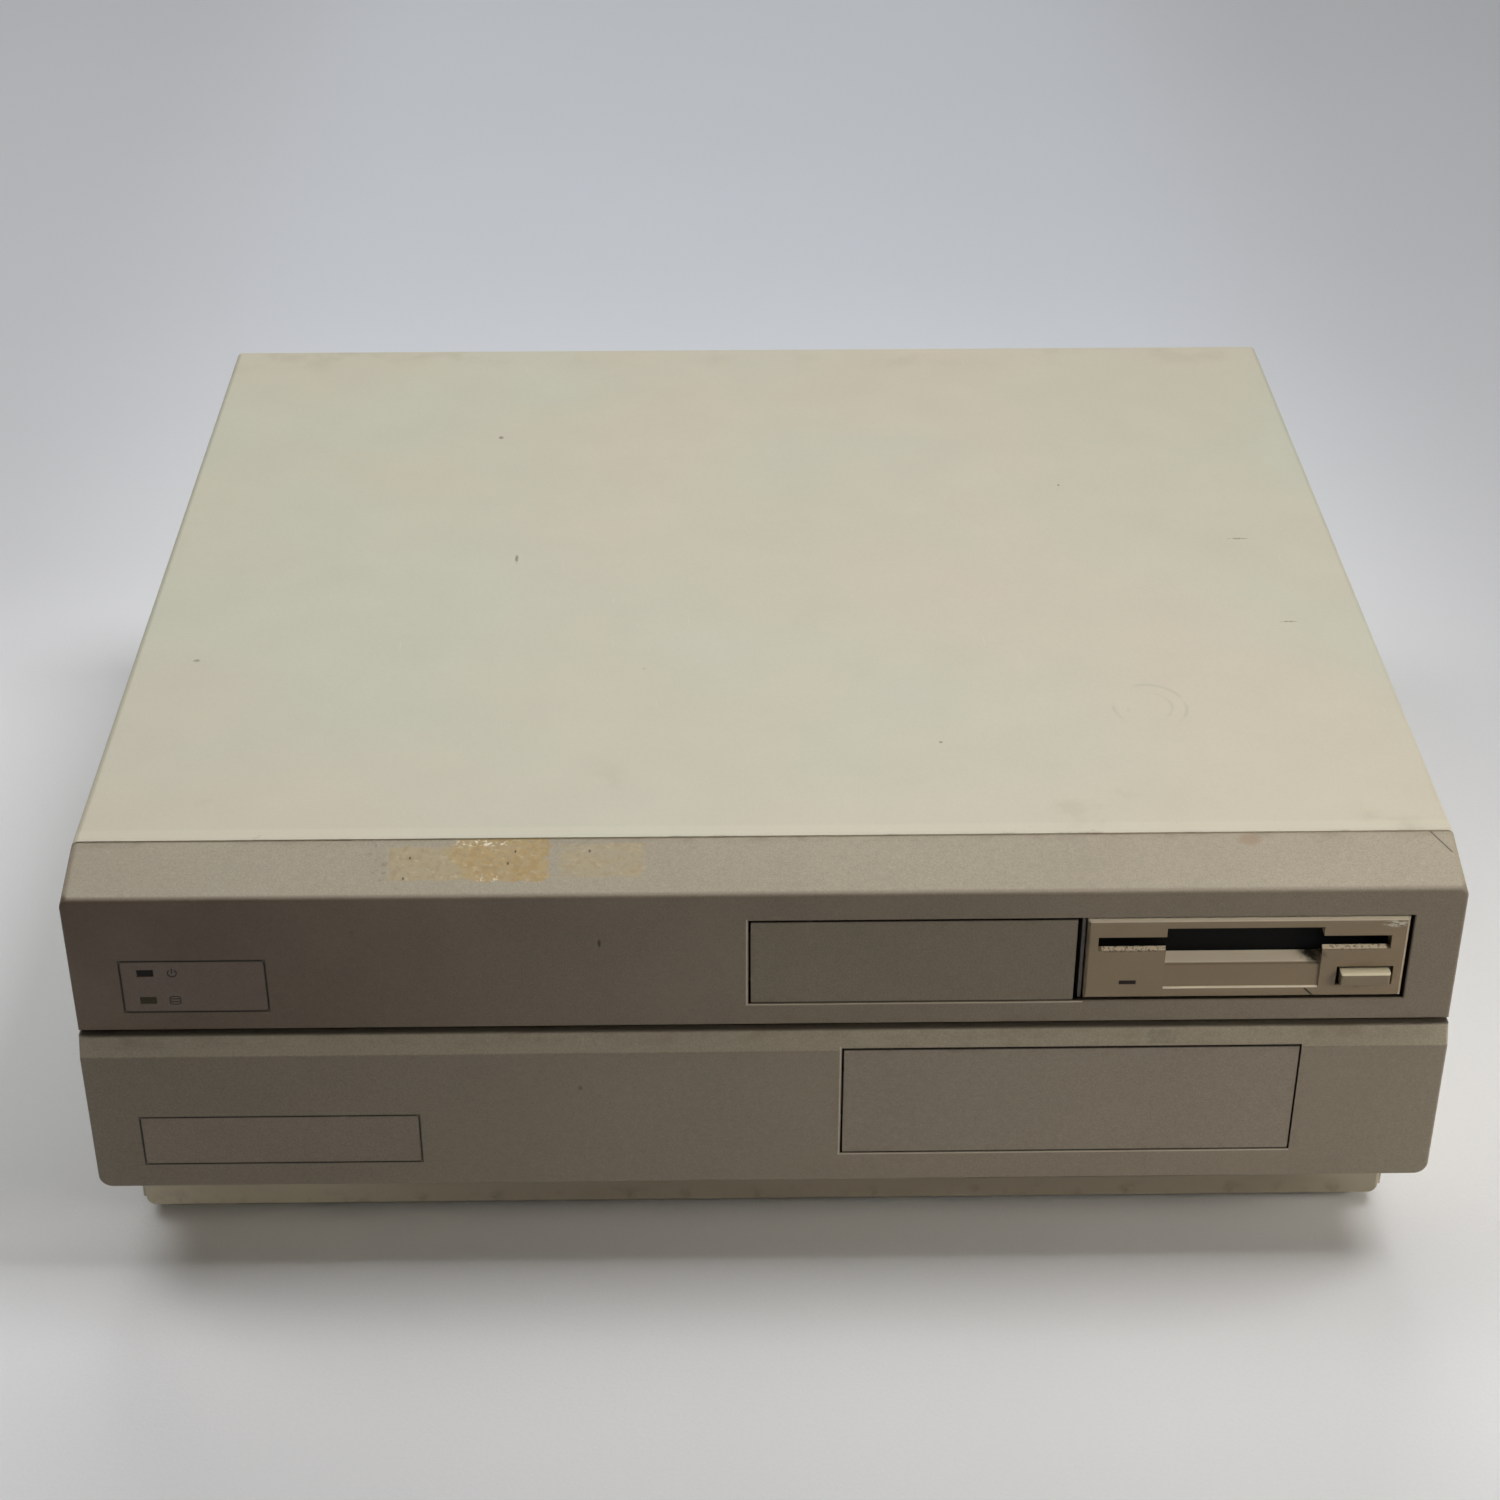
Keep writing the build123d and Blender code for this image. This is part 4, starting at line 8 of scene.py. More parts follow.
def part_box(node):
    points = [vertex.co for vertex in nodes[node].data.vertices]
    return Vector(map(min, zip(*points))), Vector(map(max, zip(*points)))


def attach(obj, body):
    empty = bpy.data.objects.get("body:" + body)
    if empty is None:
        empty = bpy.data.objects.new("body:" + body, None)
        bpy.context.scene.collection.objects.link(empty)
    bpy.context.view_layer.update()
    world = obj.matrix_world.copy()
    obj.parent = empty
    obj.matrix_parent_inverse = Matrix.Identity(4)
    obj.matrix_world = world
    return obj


# Looks of a desktop home computer: painted steel cover, moulded fascia, drives, ports and everything inside.
# The scene is in metres. In the finishes and in the tables, places and sizes are in millimetres.

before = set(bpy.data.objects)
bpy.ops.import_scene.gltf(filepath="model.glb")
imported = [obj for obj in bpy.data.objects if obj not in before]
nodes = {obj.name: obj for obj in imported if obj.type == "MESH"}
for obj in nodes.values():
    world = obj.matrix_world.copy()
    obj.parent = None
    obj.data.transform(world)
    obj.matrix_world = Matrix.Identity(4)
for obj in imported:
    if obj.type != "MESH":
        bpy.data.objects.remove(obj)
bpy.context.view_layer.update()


# ---- shader expressions ----------------------------------------------------------------------------------
class Value:
    """Output of a shader node. Python's operators on it add Math nodes."""

    def __init__(self, finish, socket):
        self.finish = finish
        self.socket = socket

    def math(self, operation, *others):
        return self.finish.node("ShaderNodeMath", {"operation": operation}, [self, *others])

    def __add__(self, other):
        return self.math("ADD", other)

    def __mul__(self, other):
        return self.math("MULTIPLY", other)

    def __sub__(self, other):
        return self.math("SUBTRACT", other)

    def __truediv__(self, other):
        return self.math("DIVIDE", other)

    def __rsub__(self, other):
        return self * -1 + other

    def __gt__(self, other):
        return self.math("GREATER_THAN", other)

    def __lt__(self, other):
        return self.math("LESS_THAN", other)

    def __abs__(self):
        return self.math("ABSOLUTE")

    def power(self, exponent):
        return self.math("POWER", exponent)

    def larger(self, other):
        return self.math("MAXIMUM", other)

    def repeat(self, pitch):
        """Distance from the middle of the nearest of many stripes."""
        return abs(self.math("WRAP", pitch / 2, -pitch / 2))

    __radd__ = __add__
    __rmul__ = __mul__


def joined(masks):
    """Mask that covers what any one of several masks covers."""
    return reduce(Value.larger, masks)


def distance(a, b):
    """Distance of the place (a, b) from (0, 0)."""
    return (a * a + b * b).power(0.5)


class Finish:
    """One material while it is made: its nodes, and the values that will feed its shader."""

    def __init__(self, name, colour, roughness, fixed=None):
        self.material = bpy.data.materials.new(name)
        self.material.use_nodes = True
        self.tree = self.material.node_tree
        self.shader = self.tree.nodes["Principled BSDF"]
        self.colour = colour
        self.roughness = roughness
        for socket, value in (fixed or {}).items():
            self.shader.inputs[socket].default_value = value
        self.coordinates = self.node("ShaderNodeTexCoord", output="Object")

    def node(self, kind, settings=None, inputs=None, output=0):
        """Any shader node: settings first, then the values or links of its sockets."""
        made = self.tree.nodes.new(kind)
        for setting, value in (settings or {}).items():
            setattr(made, setting, value)
        pairs = inputs.items() if isinstance(inputs, dict) else enumerate(inputs or [])
        for key, value in pairs:
            if isinstance(value, Value):
                self.tree.links.new(value.socket, made.inputs[key])
            else:
                made.inputs[key].default_value = value
        return Value(self, made.outputs[output])

    def place(self, axes="xyz"):
        """The named ones of x, y and z in millimetres. One alone isn't put in a list."""
        scaled = self.node("ShaderNodeVectorMath", {"operation": "SCALE"},
                           {0: self.coordinates, "Scale": 1000.0})
        places = [self.node("ShaderNodeSeparateXYZ", None, [scaled], "xyz".index(axis)) for axis in axes]
        return places if len(axes) > 1 else places[0]

    def noise(self, size, detail=2.0, stretch=(1, 1, 1), seed=0.0):
        """Soft random value around 0.5 with features of a size in millimetres."""
        moved = self.node("ShaderNodeVectorMath", {"operation": "MULTIPLY_ADD"},
                          [self.coordinates, stretch, (seed * 1.7, seed * 3.1, seed * 0.7)])
        return self.node("ShaderNodeTexNoise", None,
                         {"Vector": moved, "Scale": 1000.0 / size, "Detail": detail, "Roughness": 0.55})

    def patches(self, low, high, size, detail, stretch=(1, 1, 1), seed=0.0):
        """Patches with soft edges: 0 where the noise is below low, 1 where it is above high."""
        return self.ramp(self.noise(size, detail, stretch, seed), low, high)

    def facets(self, size):
        """One random value for each of many cells of a size in millimetres."""
        colour = self.node("ShaderNodeTexVoronoi", None,
                           {"Vector": self.coordinates, "Scale": 1000.0 / size}, "Color")
        return self.node("ShaderNodeSeparateXYZ", None, [colour])

    def ramp(self, value, low, high):
        """0 below low, 1 above high, smooth between."""
        return self.node("ShaderNodeMapRange", {"interpolation_type": "SMOOTHSTEP"},
                         [value, low, high, 0.0, 1.0])

    def band(self, value, low, high, soft):
        """1 between two limits, 0 outside, with soft edges."""
        half = (high - low) / 2
        return 1 - self.ramp(abs(value - (low + high) / 2), half - soft / 2, half + soft / 2)

    def spot(self, a, b, place, radii, soft=0.6):
        """1 in the middle of an ellipse, 0 outside it."""
        return 1 - self.ramp(distance((a - place[0]) / radii[0], (b - place[1]) / radii[1]), 1 - soft, 1.0)

    def around(self, a, b, low, high, reach):
        """1 on the rim of a rectangle, fading to 0 at a reach on both sides of it."""
        beyond = (abs(a - (low[0] + high[0]) / 2) - (high[0] - low[0]) / 2).larger(
            abs(b - (low[1] + high[1]) / 2) - (high[1] - low[1]) / 2)
        return 1 - self.ramp(abs(beyond), 0.0, reach)

    def tint(self, colour, factor):
        """Lay a colour over the finish."""
        under, over = [c if isinstance(c, Value) else (*c, 1.0) for c in (self.colour, colour)]
        self.colour = self.node("ShaderNodeMix", {"data_type": "RGBA"}, {0: factor, 6: under, 7: over}, 2)

    def vary(self, factor, share):
        """Lighten and darken the finish by a share, where factor runs around 0.5."""
        gain = (factor - 0.5) * (2 * share) + 1
        self.colour = self.node("ShaderNodeVectorMath", {"operation": "SCALE"}, {0: self.colour, "Scale": gain})

    def bump(self, height, depth, normal=None):
        """Relief of a depth in millimetres."""
        inputs = {"Height": height, "Distance": depth / 1000, "Strength": 1.0}
        if normal is not None:
            inputs["Normal"] = normal
        return self.node("ShaderNodeBump", None, inputs)

    def close(self, normal=None, metallic=None):
        """Feed the shader and give the finished material."""
        feeds = {"Base Color": self.colour, "Roughness": self.roughness, "Normal": normal, "Metallic": metallic}
        for socket, value in feeds.items():
            if isinstance(value, Value):
                self.tree.links.new(value.socket, self.shader.inputs[socket])
            elif value is not None:
                self.shader.inputs[socket].default_value = (*value, 1.0) if socket == "Base Color" else value
        return self.material


def dress(material, *names):
    """Give CAD nodes their material."""
    for name in names:
        for slot in nodes[name].material_slots:
            slot.material = material


# ---- places on the machine -------------------------------------------------------------------------------
def span(name):
    """Lowest and highest corner of a node in millimetres."""
    low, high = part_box(name)
    return [value * 1000 for value in low], [value * 1000 for value in high]


def front_of(box, side=0.0, rim=0.0):
    """Lower left and upper right corner (x, z) of a box seen from the front, grown sideways and up and down."""
    low, high = box
    return (low[0] - side, low[2] - rim), (high[0] + side, high[2] + rim)


def middle_of(name):
    """(x, y) of a node's middle."""
    low, high = span(name)
    return (low[0] + high[0]) / 2, (low[1] + high[1]) / 2


cover_low, cover_high = span("top_cover")
fascia_low, fascia_high = span("front_fascia")
small_blank = span("small_bay_blank")
large_blank = span("large_bay_blank")
bezel = span("floppy_bezel")
panel = span("indicator_panel")
plate = span("name_plate")
lights = span("indicator_lights")
pan = span("base_pan")

lower_face_y = fascia_low[1]
upper_face_y = panel[0][1]
lower_face_top = fascia_low[2] + 53.8
tier_top = fascia_low[2] + 60.7      # of the lower tier, where the groove starts
groove_top = tier_top + 1.5
upper_face_top = fascia_low[2] + 112.7

# openings of the two bays, wider than what stands in them
small_bay = ((small_blank[0][0] - 0.4, bezel[0][2] - 0.75), (bezel[1][0] + 1.2, bezel[1][2] + 0.75))
large_bay = front_of(large_blank, 0.3, 0.4)
inlay_gap = 0.25                     # around the indicator panel and the name plate

slot_middle = (bezel[0][0] + bezel[1][0]) / 2 - 0.8
slot_half = 45.2
grip_half = 24.75
button_middle = (bezel[1][0] - 12.4, bezel[0][2] + 8.2)
button_top = bezel[0][2] + 10.6

rear_flange = 11.0                   # the rear panel's lower edge is turned in, forwards
rear_wall_y = span("rear_panel")[0][1] + rear_flange
recess_y = pan[0][1] + 4.0           # the pan's wall behind the controller ports: pressed in 2.8, and 1.2 thick
port_height = 20.05                  # middle of the D-shaped ports and of the jacks
port_slope = 0.1763                  # tangent of the 10 degrees of a D-shaped port's ends
core_half_height = 3.6
core_halves = {25: 17.89, 23: 16.50, 9: 6.81}    # half of a core's width at that height, by its contacts
contact_pitch = 2.54
wire_pitch = 1.27                    # of the flat cables
first_jack_x = 118.0
jack_pitch = 16.0
socket_middle = (176.0, 22.3)        # x and z, of the keyboard socket
inlet_pins = [(161.0, 73.0), (175.0, 73.0), (168.0, 77.0)]
rocker_pivot = Vector((168.0, 191.2, 118.0))
rocker_rest = -11.0                  # degrees
first_slot_x = -186.0
slot_pitch = 20.32
slot_count = 5
platter_hub = 12.7                   # radius of the bare middle of a platter

# ---- tones -----------------------------------------------------------------------------------------------
cream = (0.615, 0.578, 0.450)        # paint
stone = (0.410, 0.356, 0.262)        # fascia
painted_face_shade = (0.292, 0.246, 0.179)      # painted shade on its upright front faces
painted_left_shade = (0.138, 0.098, 0.063)       # painted shade that darkens them more towards the left
painted_edge_highlight = (0.85, 0.75, 0.57)      # painted highlight on the lower and left edges of the bay openings
grime = (0.16, 0.11, 0.06)
# painted shade in gaps and wells, and on sides hidden in them
painted_gap_shade = (0.020, 0.016, 0.012)
gilt = (0.75, 0.55, 0.22)
plated = (0.60, 0.60, 0.58)
hub_steel = (0.58, 0.58, 0.57)
black = (0.03, 0.03, 0.03)
port_blue = (0.025, 0.05, 0.14)
board_green = (0.02, 0.13, 0.05)

# ---- painted steel ---------------------------------------------------------------------------------------
# dark marks on the cover: x and y, and the two radii
cover_marks = [
    ((-101.0, 116.0), (1.4, 1.8)),
    ((-89.0, 12.0), (0.8, 5.0)),
    ((-197.0, -62.0), (1.6, 1.2)),
    ((183.0, 24.0), (5.0, 0.7)),
    ((191.0, -40.0), (4.0, 0.6)),
    ((60.0, -120.0), (0.9, 0.9)),
    ((-40.0, -70.0), (0.7, 0.7)),
    ((120.0, 70.0), (0.6, 1.4)),
]


def cover_paint():
    """Cream paint, softly mottled with age, with handling marks and a dirty line along the fascia."""
    paint = Finish("cover_paint", cream, 0.42, {"Specular IOR Level": 0.45})
    x, y, z = paint.place()
    paint.tint((0.655, 0.565, 0.440), paint.patches(0.42, 0.62, 190, 1.0) * 0.55)
    paint.tint((0.565, 0.595, 0.475), paint.patches(0.45, 0.68, 140, 2.0, seed=4) * 0.40)
    paint.vary(paint.noise(26, 3.0, seed=2), 0.045)
    paint.vary(paint.noise(0.9, 2.0), 0.05)
    front_line(paint, y - cover_low[1])
    rear_lip = paint.ramp(y, cover_high[1] - 26, cover_high[1] - 2)
    paint.tint((0.45, 0.42, 0.30), rear_lip * paint.patches(0.5, 0.72, 22, 4.0, seed=9) * 0.45)
    top = paint.ramp(z, cover_high[2] - 2.5, cover_high[2] - 1.5)
    marks = joined([paint.spot(x, y, place, radii) for place, radii in cover_marks])
    paint.tint((0.22, 0.18, 0.12), marks * top * paint.patches(0.3, 0.55, 1.5, 3.0, seed=3) * 0.8)
    paint.tint((0.40, 0.38, 0.30), ring_marks(paint, x, y) * top * 0.35)
    hairlines = paint.patches(0.735, 0.76, 7, 2.0, (9, 0.35, 1), seed=5) * top
    paint.tint((0.72, 0.69, 0.58), hairlines * 0.5)
    paint.roughness = 0.36 + paint.noise(45, 3.0, seed=6) * 0.14 + marks * 0.2
    return paint.close(paint.bump(paint.noise(1.1, 2.0), 0.02))


def front_line(paint, back):
    """Grime, flecks and a pale line at the cover's front edge. back is the distance behind it."""
    worn = paint.patches(0.50, 0.68, 11, 5.0, (0.6, 1, 1))
    paint.tint(grime, (1 - paint.ramp(back, 0.2, 1.0)) * worn * 0.5)
    flecks = paint.patches(0.62, 0.70, 2.4, 3.0, (0.6, 1, 1), seed=11)
    paint.tint((0.30, 0.23, 0.14), flecks * worn * (1 - paint.ramp(back, 2.0, 9.0)) * 0.6)
    paint.tint((0.72, 0.68, 0.52), paint.band(back, 1.4, 6.0, 2.0) * 0.30)
    smudges = paint.patches(0.62, 0.78, 34, 5.0, seed=7) * (1 - paint.ramp(back, 8, 70))
    paint.tint((0.42, 0.37, 0.26), smudges * 0.35)


def ring_marks(paint, x, y):
    """Two faint rings left by something that stood on the cover."""
    radius = distance((x - 133.0) / 13.0, (y + 98.0) / 15.0)
    rings = joined([paint.band(radius, 0.55, 0.62, 0.1), paint.band(radius, 0.92, 1.0, 0.1)])
    return rings * paint.patches(0.45, 0.6, 14, 3.0, seed=8)


def pan_paint(name, colour):
    """Cream paint on the base pan and the rear wall. Along the pan's front, painted light makes the left end
    paler and painted shade darkens it further right.
    """
    paint = Finish(name, colour, 0.45)
    x, y, z = paint.place()
    paint.vary(paint.noise(30, 3.0, seed=12), 0.06)
    paint.vary(paint.noise(0.9, 2.0), 0.05)
    if name == "pan_paint":
        # painted light at the left end of the front, painted shade further right
        front = 1 - paint.ramp(y, fascia_low[1] + 20, fascia_low[1] + 60)
        paint.tint((0.72, 0.63, 0.46), front * (1 - paint.ramp(x, -190, -90)))
        paint.tint((0.41, 0.35, 0.255), front * paint.ramp(x, -160, -40))
    low = 1 - paint.ramp(z, 6, 14)
    paint.tint(grime, low * paint.patches(0.5, 0.75, 9, 5.0, seed=13) * 0.5)
    paint.tint((0.30, 0.28, 0.24), paint.patches(0.74, 0.78, 2.6, 4.0, seed=14) * 0.6)
    paint.roughness = 0.40 + paint.noise(20, 3.0, seed=6) * 0.15
    return paint.close(paint.bump(paint.noise(1.1, 2.0), 0.02))


# ---- moulded plastic of the front ------------------------------------------------------------------------
# marks on the fascia: x and height above its underside, radii, tone, strength
fascia_marks = [
    ((-52.5, 95.0), (0.7, 2.0), (0.05, 0.04, 0.03), 0.9),
    ((-130.0, 100.0), (1.2, 1.0), (0.14, 0.10, 0.07), 0.5),
    ((-60.0, 40.0), (1.0, 1.4), (0.12, 0.09, 0.06), 0.6),
    ((-196.0, 26.0), (0.8, 1.0), (0.10, 0.07, 0.05), 0.7),
    ((154.0, 118.0), (5.0, 0.8), (0.35, 0.24, 0.15), 0.6),
]

# dark specks in and beside the glue: x and y
glue_specks = [(-111.9, -182.7), (-78.8, -180.4), (-81.0, -185.2), (-55.4, -180.4), (-113.5, -191.0)]


def grained(plastic):
    """Fine spark-eroded grain of a moulding: tone and relief."""
    grain = plastic.noise(0.55, 2.0)
    plastic.vary(grain, 0.30)
    plastic.vary(plastic.noise(2.2, 3.0, seed=21), 0.10)
    plastic.vary(plastic.noise(38, 3.0, seed=22), 0.05)
    return plastic.bump(grain, 0.03)


def fascia_plastic():
    """Stone-coloured moulding with painted shade on its upright faces, in its groove and in the gaps of its
    openings, painted highlights on the lower and left edges of the bays, glue left on its upper bevel, grime
    along the groove and small knocks.
    """
    plastic = Finish("fascia_plastic", stone, 0.5, {"Specular IOR Level": 0.4})
    x, y, z = plastic.place()
    bevel = plastic.ramp(z, upper_face_top + 0.1, upper_face_top + 0.6)
    # painted shade on the upright faces, darker towards the left
    paint_face_shade(plastic, x, y, z, bevel)
    normal = grained(plastic)
    plastic.vary(plastic.noise(60, 2.0, seed=24), 0.07)
    plastic.tint((0.34, 0.26, 0.19), plastic.patches(0.45, 0.7, 70, 2.0, seed=25) * 0.16)
    dirt = plastic.patches(0.42, 0.75, 6, 5.0, (0.6, 1, 1), seed=26)
    # painted shade in the groove between the two tiers
    plastic.tint((0.05, 0.04, 0.03), plastic.band(z, tier_top - 0.2, groove_top + 0.2, 0.5) * 0.75)
    plastic.tint(grime, plastic.band(z, tier_top - 3.5, groove_top + 4.0, 3.0) * dirt * 0.22)
    rim_openings(plastic, x, y, z, dirt)
    back_edge = plastic.ramp(y, fascia_high[1] - 3.5, fascia_high[1] - 0.5) * dirt
    plastic.tint(grime, back_edge * bevel * 0.30)
    thick = lay_glue(plastic, x, y, bevel)
    scar_fascia(plastic, x, y, z, bevel)
    plastic.roughness = 0.46 + plastic.noise(30, 3.0, seed=28) * 0.12 - thick * bevel * 0.2
    return plastic.close(normal)


def paint_face_shade(plastic, x, y, z, bevel):
    """Painted shade: the upright faces are darker than the bevels, the more so towards the left."""
    lower_bevel = plastic.ramp(z, lower_face_top + 0.1, lower_face_top + 0.6) * (z < groove_top)
    above = plastic.ramp(z, groove_top - 0.5, groove_top + 0.5)
    below = 1 - plastic.ramp(z, lower_face_top - 0.3, lower_face_top + 0.3)
    behind_face = y - lower_face_y - above * (upper_face_y - lower_face_y)
    front = 1 - plastic.ramp(behind_face, 1.0, 5.0)
    plastic.tint(painted_face_shade, (1 - bevel - lower_bevel) * front)
    leftwards = (1 - plastic.ramp(x, -215, -20)) * 0.55 + (1 - plastic.ramp(x, 0, 170)) * 0.2
    plastic.tint(painted_left_shade, above * (1 - bevel) * front * (leftwards + 0.24))
    plastic.tint(painted_left_shade, below * front * (1 - plastic.ramp(x, -215, 60)) * 0.4)


def rim_openings(plastic, x, y, z, dirt):
    """Dirt around the bays, a painted highlight on their lower and left edges, and painted shade in the gaps
    around the bays, the indicator panel and the name plate.
    """
    for box in (small_blank, bezel, large_blank):
        plastic.tint(grime, plastic.around(x, z, *front_of(box), 3.0) * dirt * 0.35)
    for opening, face_y, lit_end in ((small_bay, upper_face_y, bezel[0][0]),
                                     (large_bay, lower_face_y, large_bay[1][0])):
        left, sill = opening[0]
        lit = (x < left - 0.3).larger((z < sill - 0.3) * (x < lit_end))
        # painted highlight along the opening's lower and left edges
        plastic.tint(painted_edge_highlight, plastic.around(x, z, *opening, 1.0) * lit)
        # painted shade on the walls inside the opening
        inside = plastic.around(x, z, *opening, 0.12) * plastic.ramp(y - face_y, 0.1, 0.4)
        plastic.tint(painted_gap_shade, inside * 0.95)
    for box in (panel, plate):
        # painted shade in a line for the gap around the panel and the plate
        plastic.tint(painted_gap_shade, plastic.around(x, z, *front_of(box, inlay_gap, inlay_gap), 0.45) * 0.9)


def lay_glue(plastic, x, y, bevel):
    """Brittle yellow glue on the upper bevel, painted glints of light on it, and specks. Gives the mask of its
    thick part.
    """
    film, thick = glue_masks(plastic, x, y)
    both = film.larger(thick) * bevel
    plastic.tint((0.450, 0.365, 0.215), film * bevel)
    plastic.tint((0.485, 0.350, 0.160), thick * bevel)
    plastic.tint((0.43, 0.29, 0.11), thick * bevel * plastic.patches(0.45, 0.62, 5, 3.0, seed=35) * 0.7)
    plastic.tint((0.34, 0.25, 0.13), both * plastic.patches(0.46, 0.66, 1.8, 5.0, seed=37) * 0.45)
    plastic.tint((0.62, 0.53, 0.36), both * plastic.patches(0.55, 0.70, 2.1, 5.0, seed=38) * 0.5)
    # painted glints of light on the glue's upper and lower edges
    painted_glints = plastic.band(x, -97, -82, 5.0) * plastic.band(y, -178.0, -175.4, 1.0)
    painted_glints = painted_glints.larger(plastic.band(x, -90, -83, 3.0) * plastic.band(y, -192.3, -189.5, 1.0) * 0.7)
    plastic.tint((0.84, 0.78, 0.60), painted_glints * plastic.patches(0.53, 0.62, 1.5, 4.0, seed=34) * bevel)
    ghost = plastic.band(x, -126, -119, 3.0) * plastic.band(y, -192, -176, 2.0) * bevel
    plastic.tint((0.22, 0.18, 0.13), ghost * plastic.patches(0.58, 0.66, 2.2, 5.0, seed=39) * 0.5)
    for speck in glue_specks:
        plastic.tint((0.06, 0.045, 0.03), plastic.spot(x, y, speck, (0.5, 0.9)) * bevel * 0.85)
    return thick


def glue_masks(plastic, x, y):
    """A streaky film at the left and at the right, and a thicker part between them."""
    ragged = plastic.noise(2.4, 5.0, seed=31) * 7 - 3.5
    streaks = plastic.patches(0.36, 0.60, 4.5, 5.0, (0.4, 1.5, 1), seed=32)
    left = plastic.band(x + ragged, -118.5, -90, 1.5) * plastic.band(y + ragged * 0.5, -191.8, -178.2, 1.0)
    right = plastic.band(x + ragged, -64.5, -38, 2.0) * plastic.band(y + ragged * 0.5, -191.0, -177.5, 1.5)
    wedge = plastic.ramp(x + ragged * 1.4 - abs(y + 181) * 0.75, -102.0, -99.0)
    thick = wedge * (1 - plastic.ramp(x + ragged * 0.8, -68.9, -67.9))
    thick = thick * plastic.ramp(y + ragged * 0.6, -192.8, -192.0)
    grainy = plastic.patches(0.30, 0.62, 2.4, 4.0, seed=33)
    film = left * (streaks * 0.2 + 0.8) + right * (streaks * 0.35 + 0.5)
    return film, thick * (grainy * 0.4 + 0.6)


def scar_fascia(plastic, x, y, z, bevel):
    """Marks, a cut at the bevel's right end, a smudge on the lower bevel and small knocks."""
    height = z - fascia_low[2]
    for place, radii, tone, strength in fascia_marks:
        plastic.tint(tone, plastic.spot(x, height, place, radii) * strength)
    across_cut = (x - 214.6) + (y + 179.5) * 0.62
    cut = plastic.band(across_cut, -0.28, 0.28, 0.2) * plastic.band(y, -184.0, -175.0, 0.5)
    plastic.tint((0.08, 0.06, 0.04), cut * bevel * 0.85)
    smudge = plastic.band(x, 122.5, 132.0, 0.8) * plastic.band(z, tier_top - 5.2, tier_top - 0.9, 0.8)
    plastic.tint((0.26, 0.23, 0.18), smudge * plastic.patches(0.3, 0.6, 3, 3.0, seed=29) * 0.5)
    plastic.tint((0.20, 0.16, 0.11), plastic.patches(0.76, 0.79, 3.5, 4.0, seed=27) * 0.45)


def front_plastic(name, colour, box, line):
    """Plain moulding of the blanks, the indicator panel and the name plate, with dirt near its rim and painted
    shade in a line at its rim and on its sides.
    """
    plastic = Finish(name, colour, 0.5, {"Specular IOR Level": 0.4})
    x, y, z = plastic.place()
    normal = grained(plastic)
    dirt = plastic.patches(0.40, 0.72, 5, 5.0, seed=36)
    plastic.tint(grime, plastic.around(x, z, *front_of(box), 2.2) * dirt * 0.35)
    # painted shade: a dark line at the rim for the gap around the piece
    plastic.tint(painted_gap_shade, plastic.around(x, z, *front_of(box), line) * 0.9)
    # painted shade on the sides and back, which sit in the gap
    plastic.tint(painted_gap_shade, plastic.ramp(y - box[0][1], 0.3, 1.2) * 0.9)
    plastic.tint((0.30, 0.27, 0.21), plastic.patches(0.62, 0.8, 9, 4.0, (1, 1, 0.35), seed=37) * 0.25)
    plastic.roughness = 0.46 + plastic.noise(25, 3.0, seed=38) * 0.12
    return plastic.close(normal)


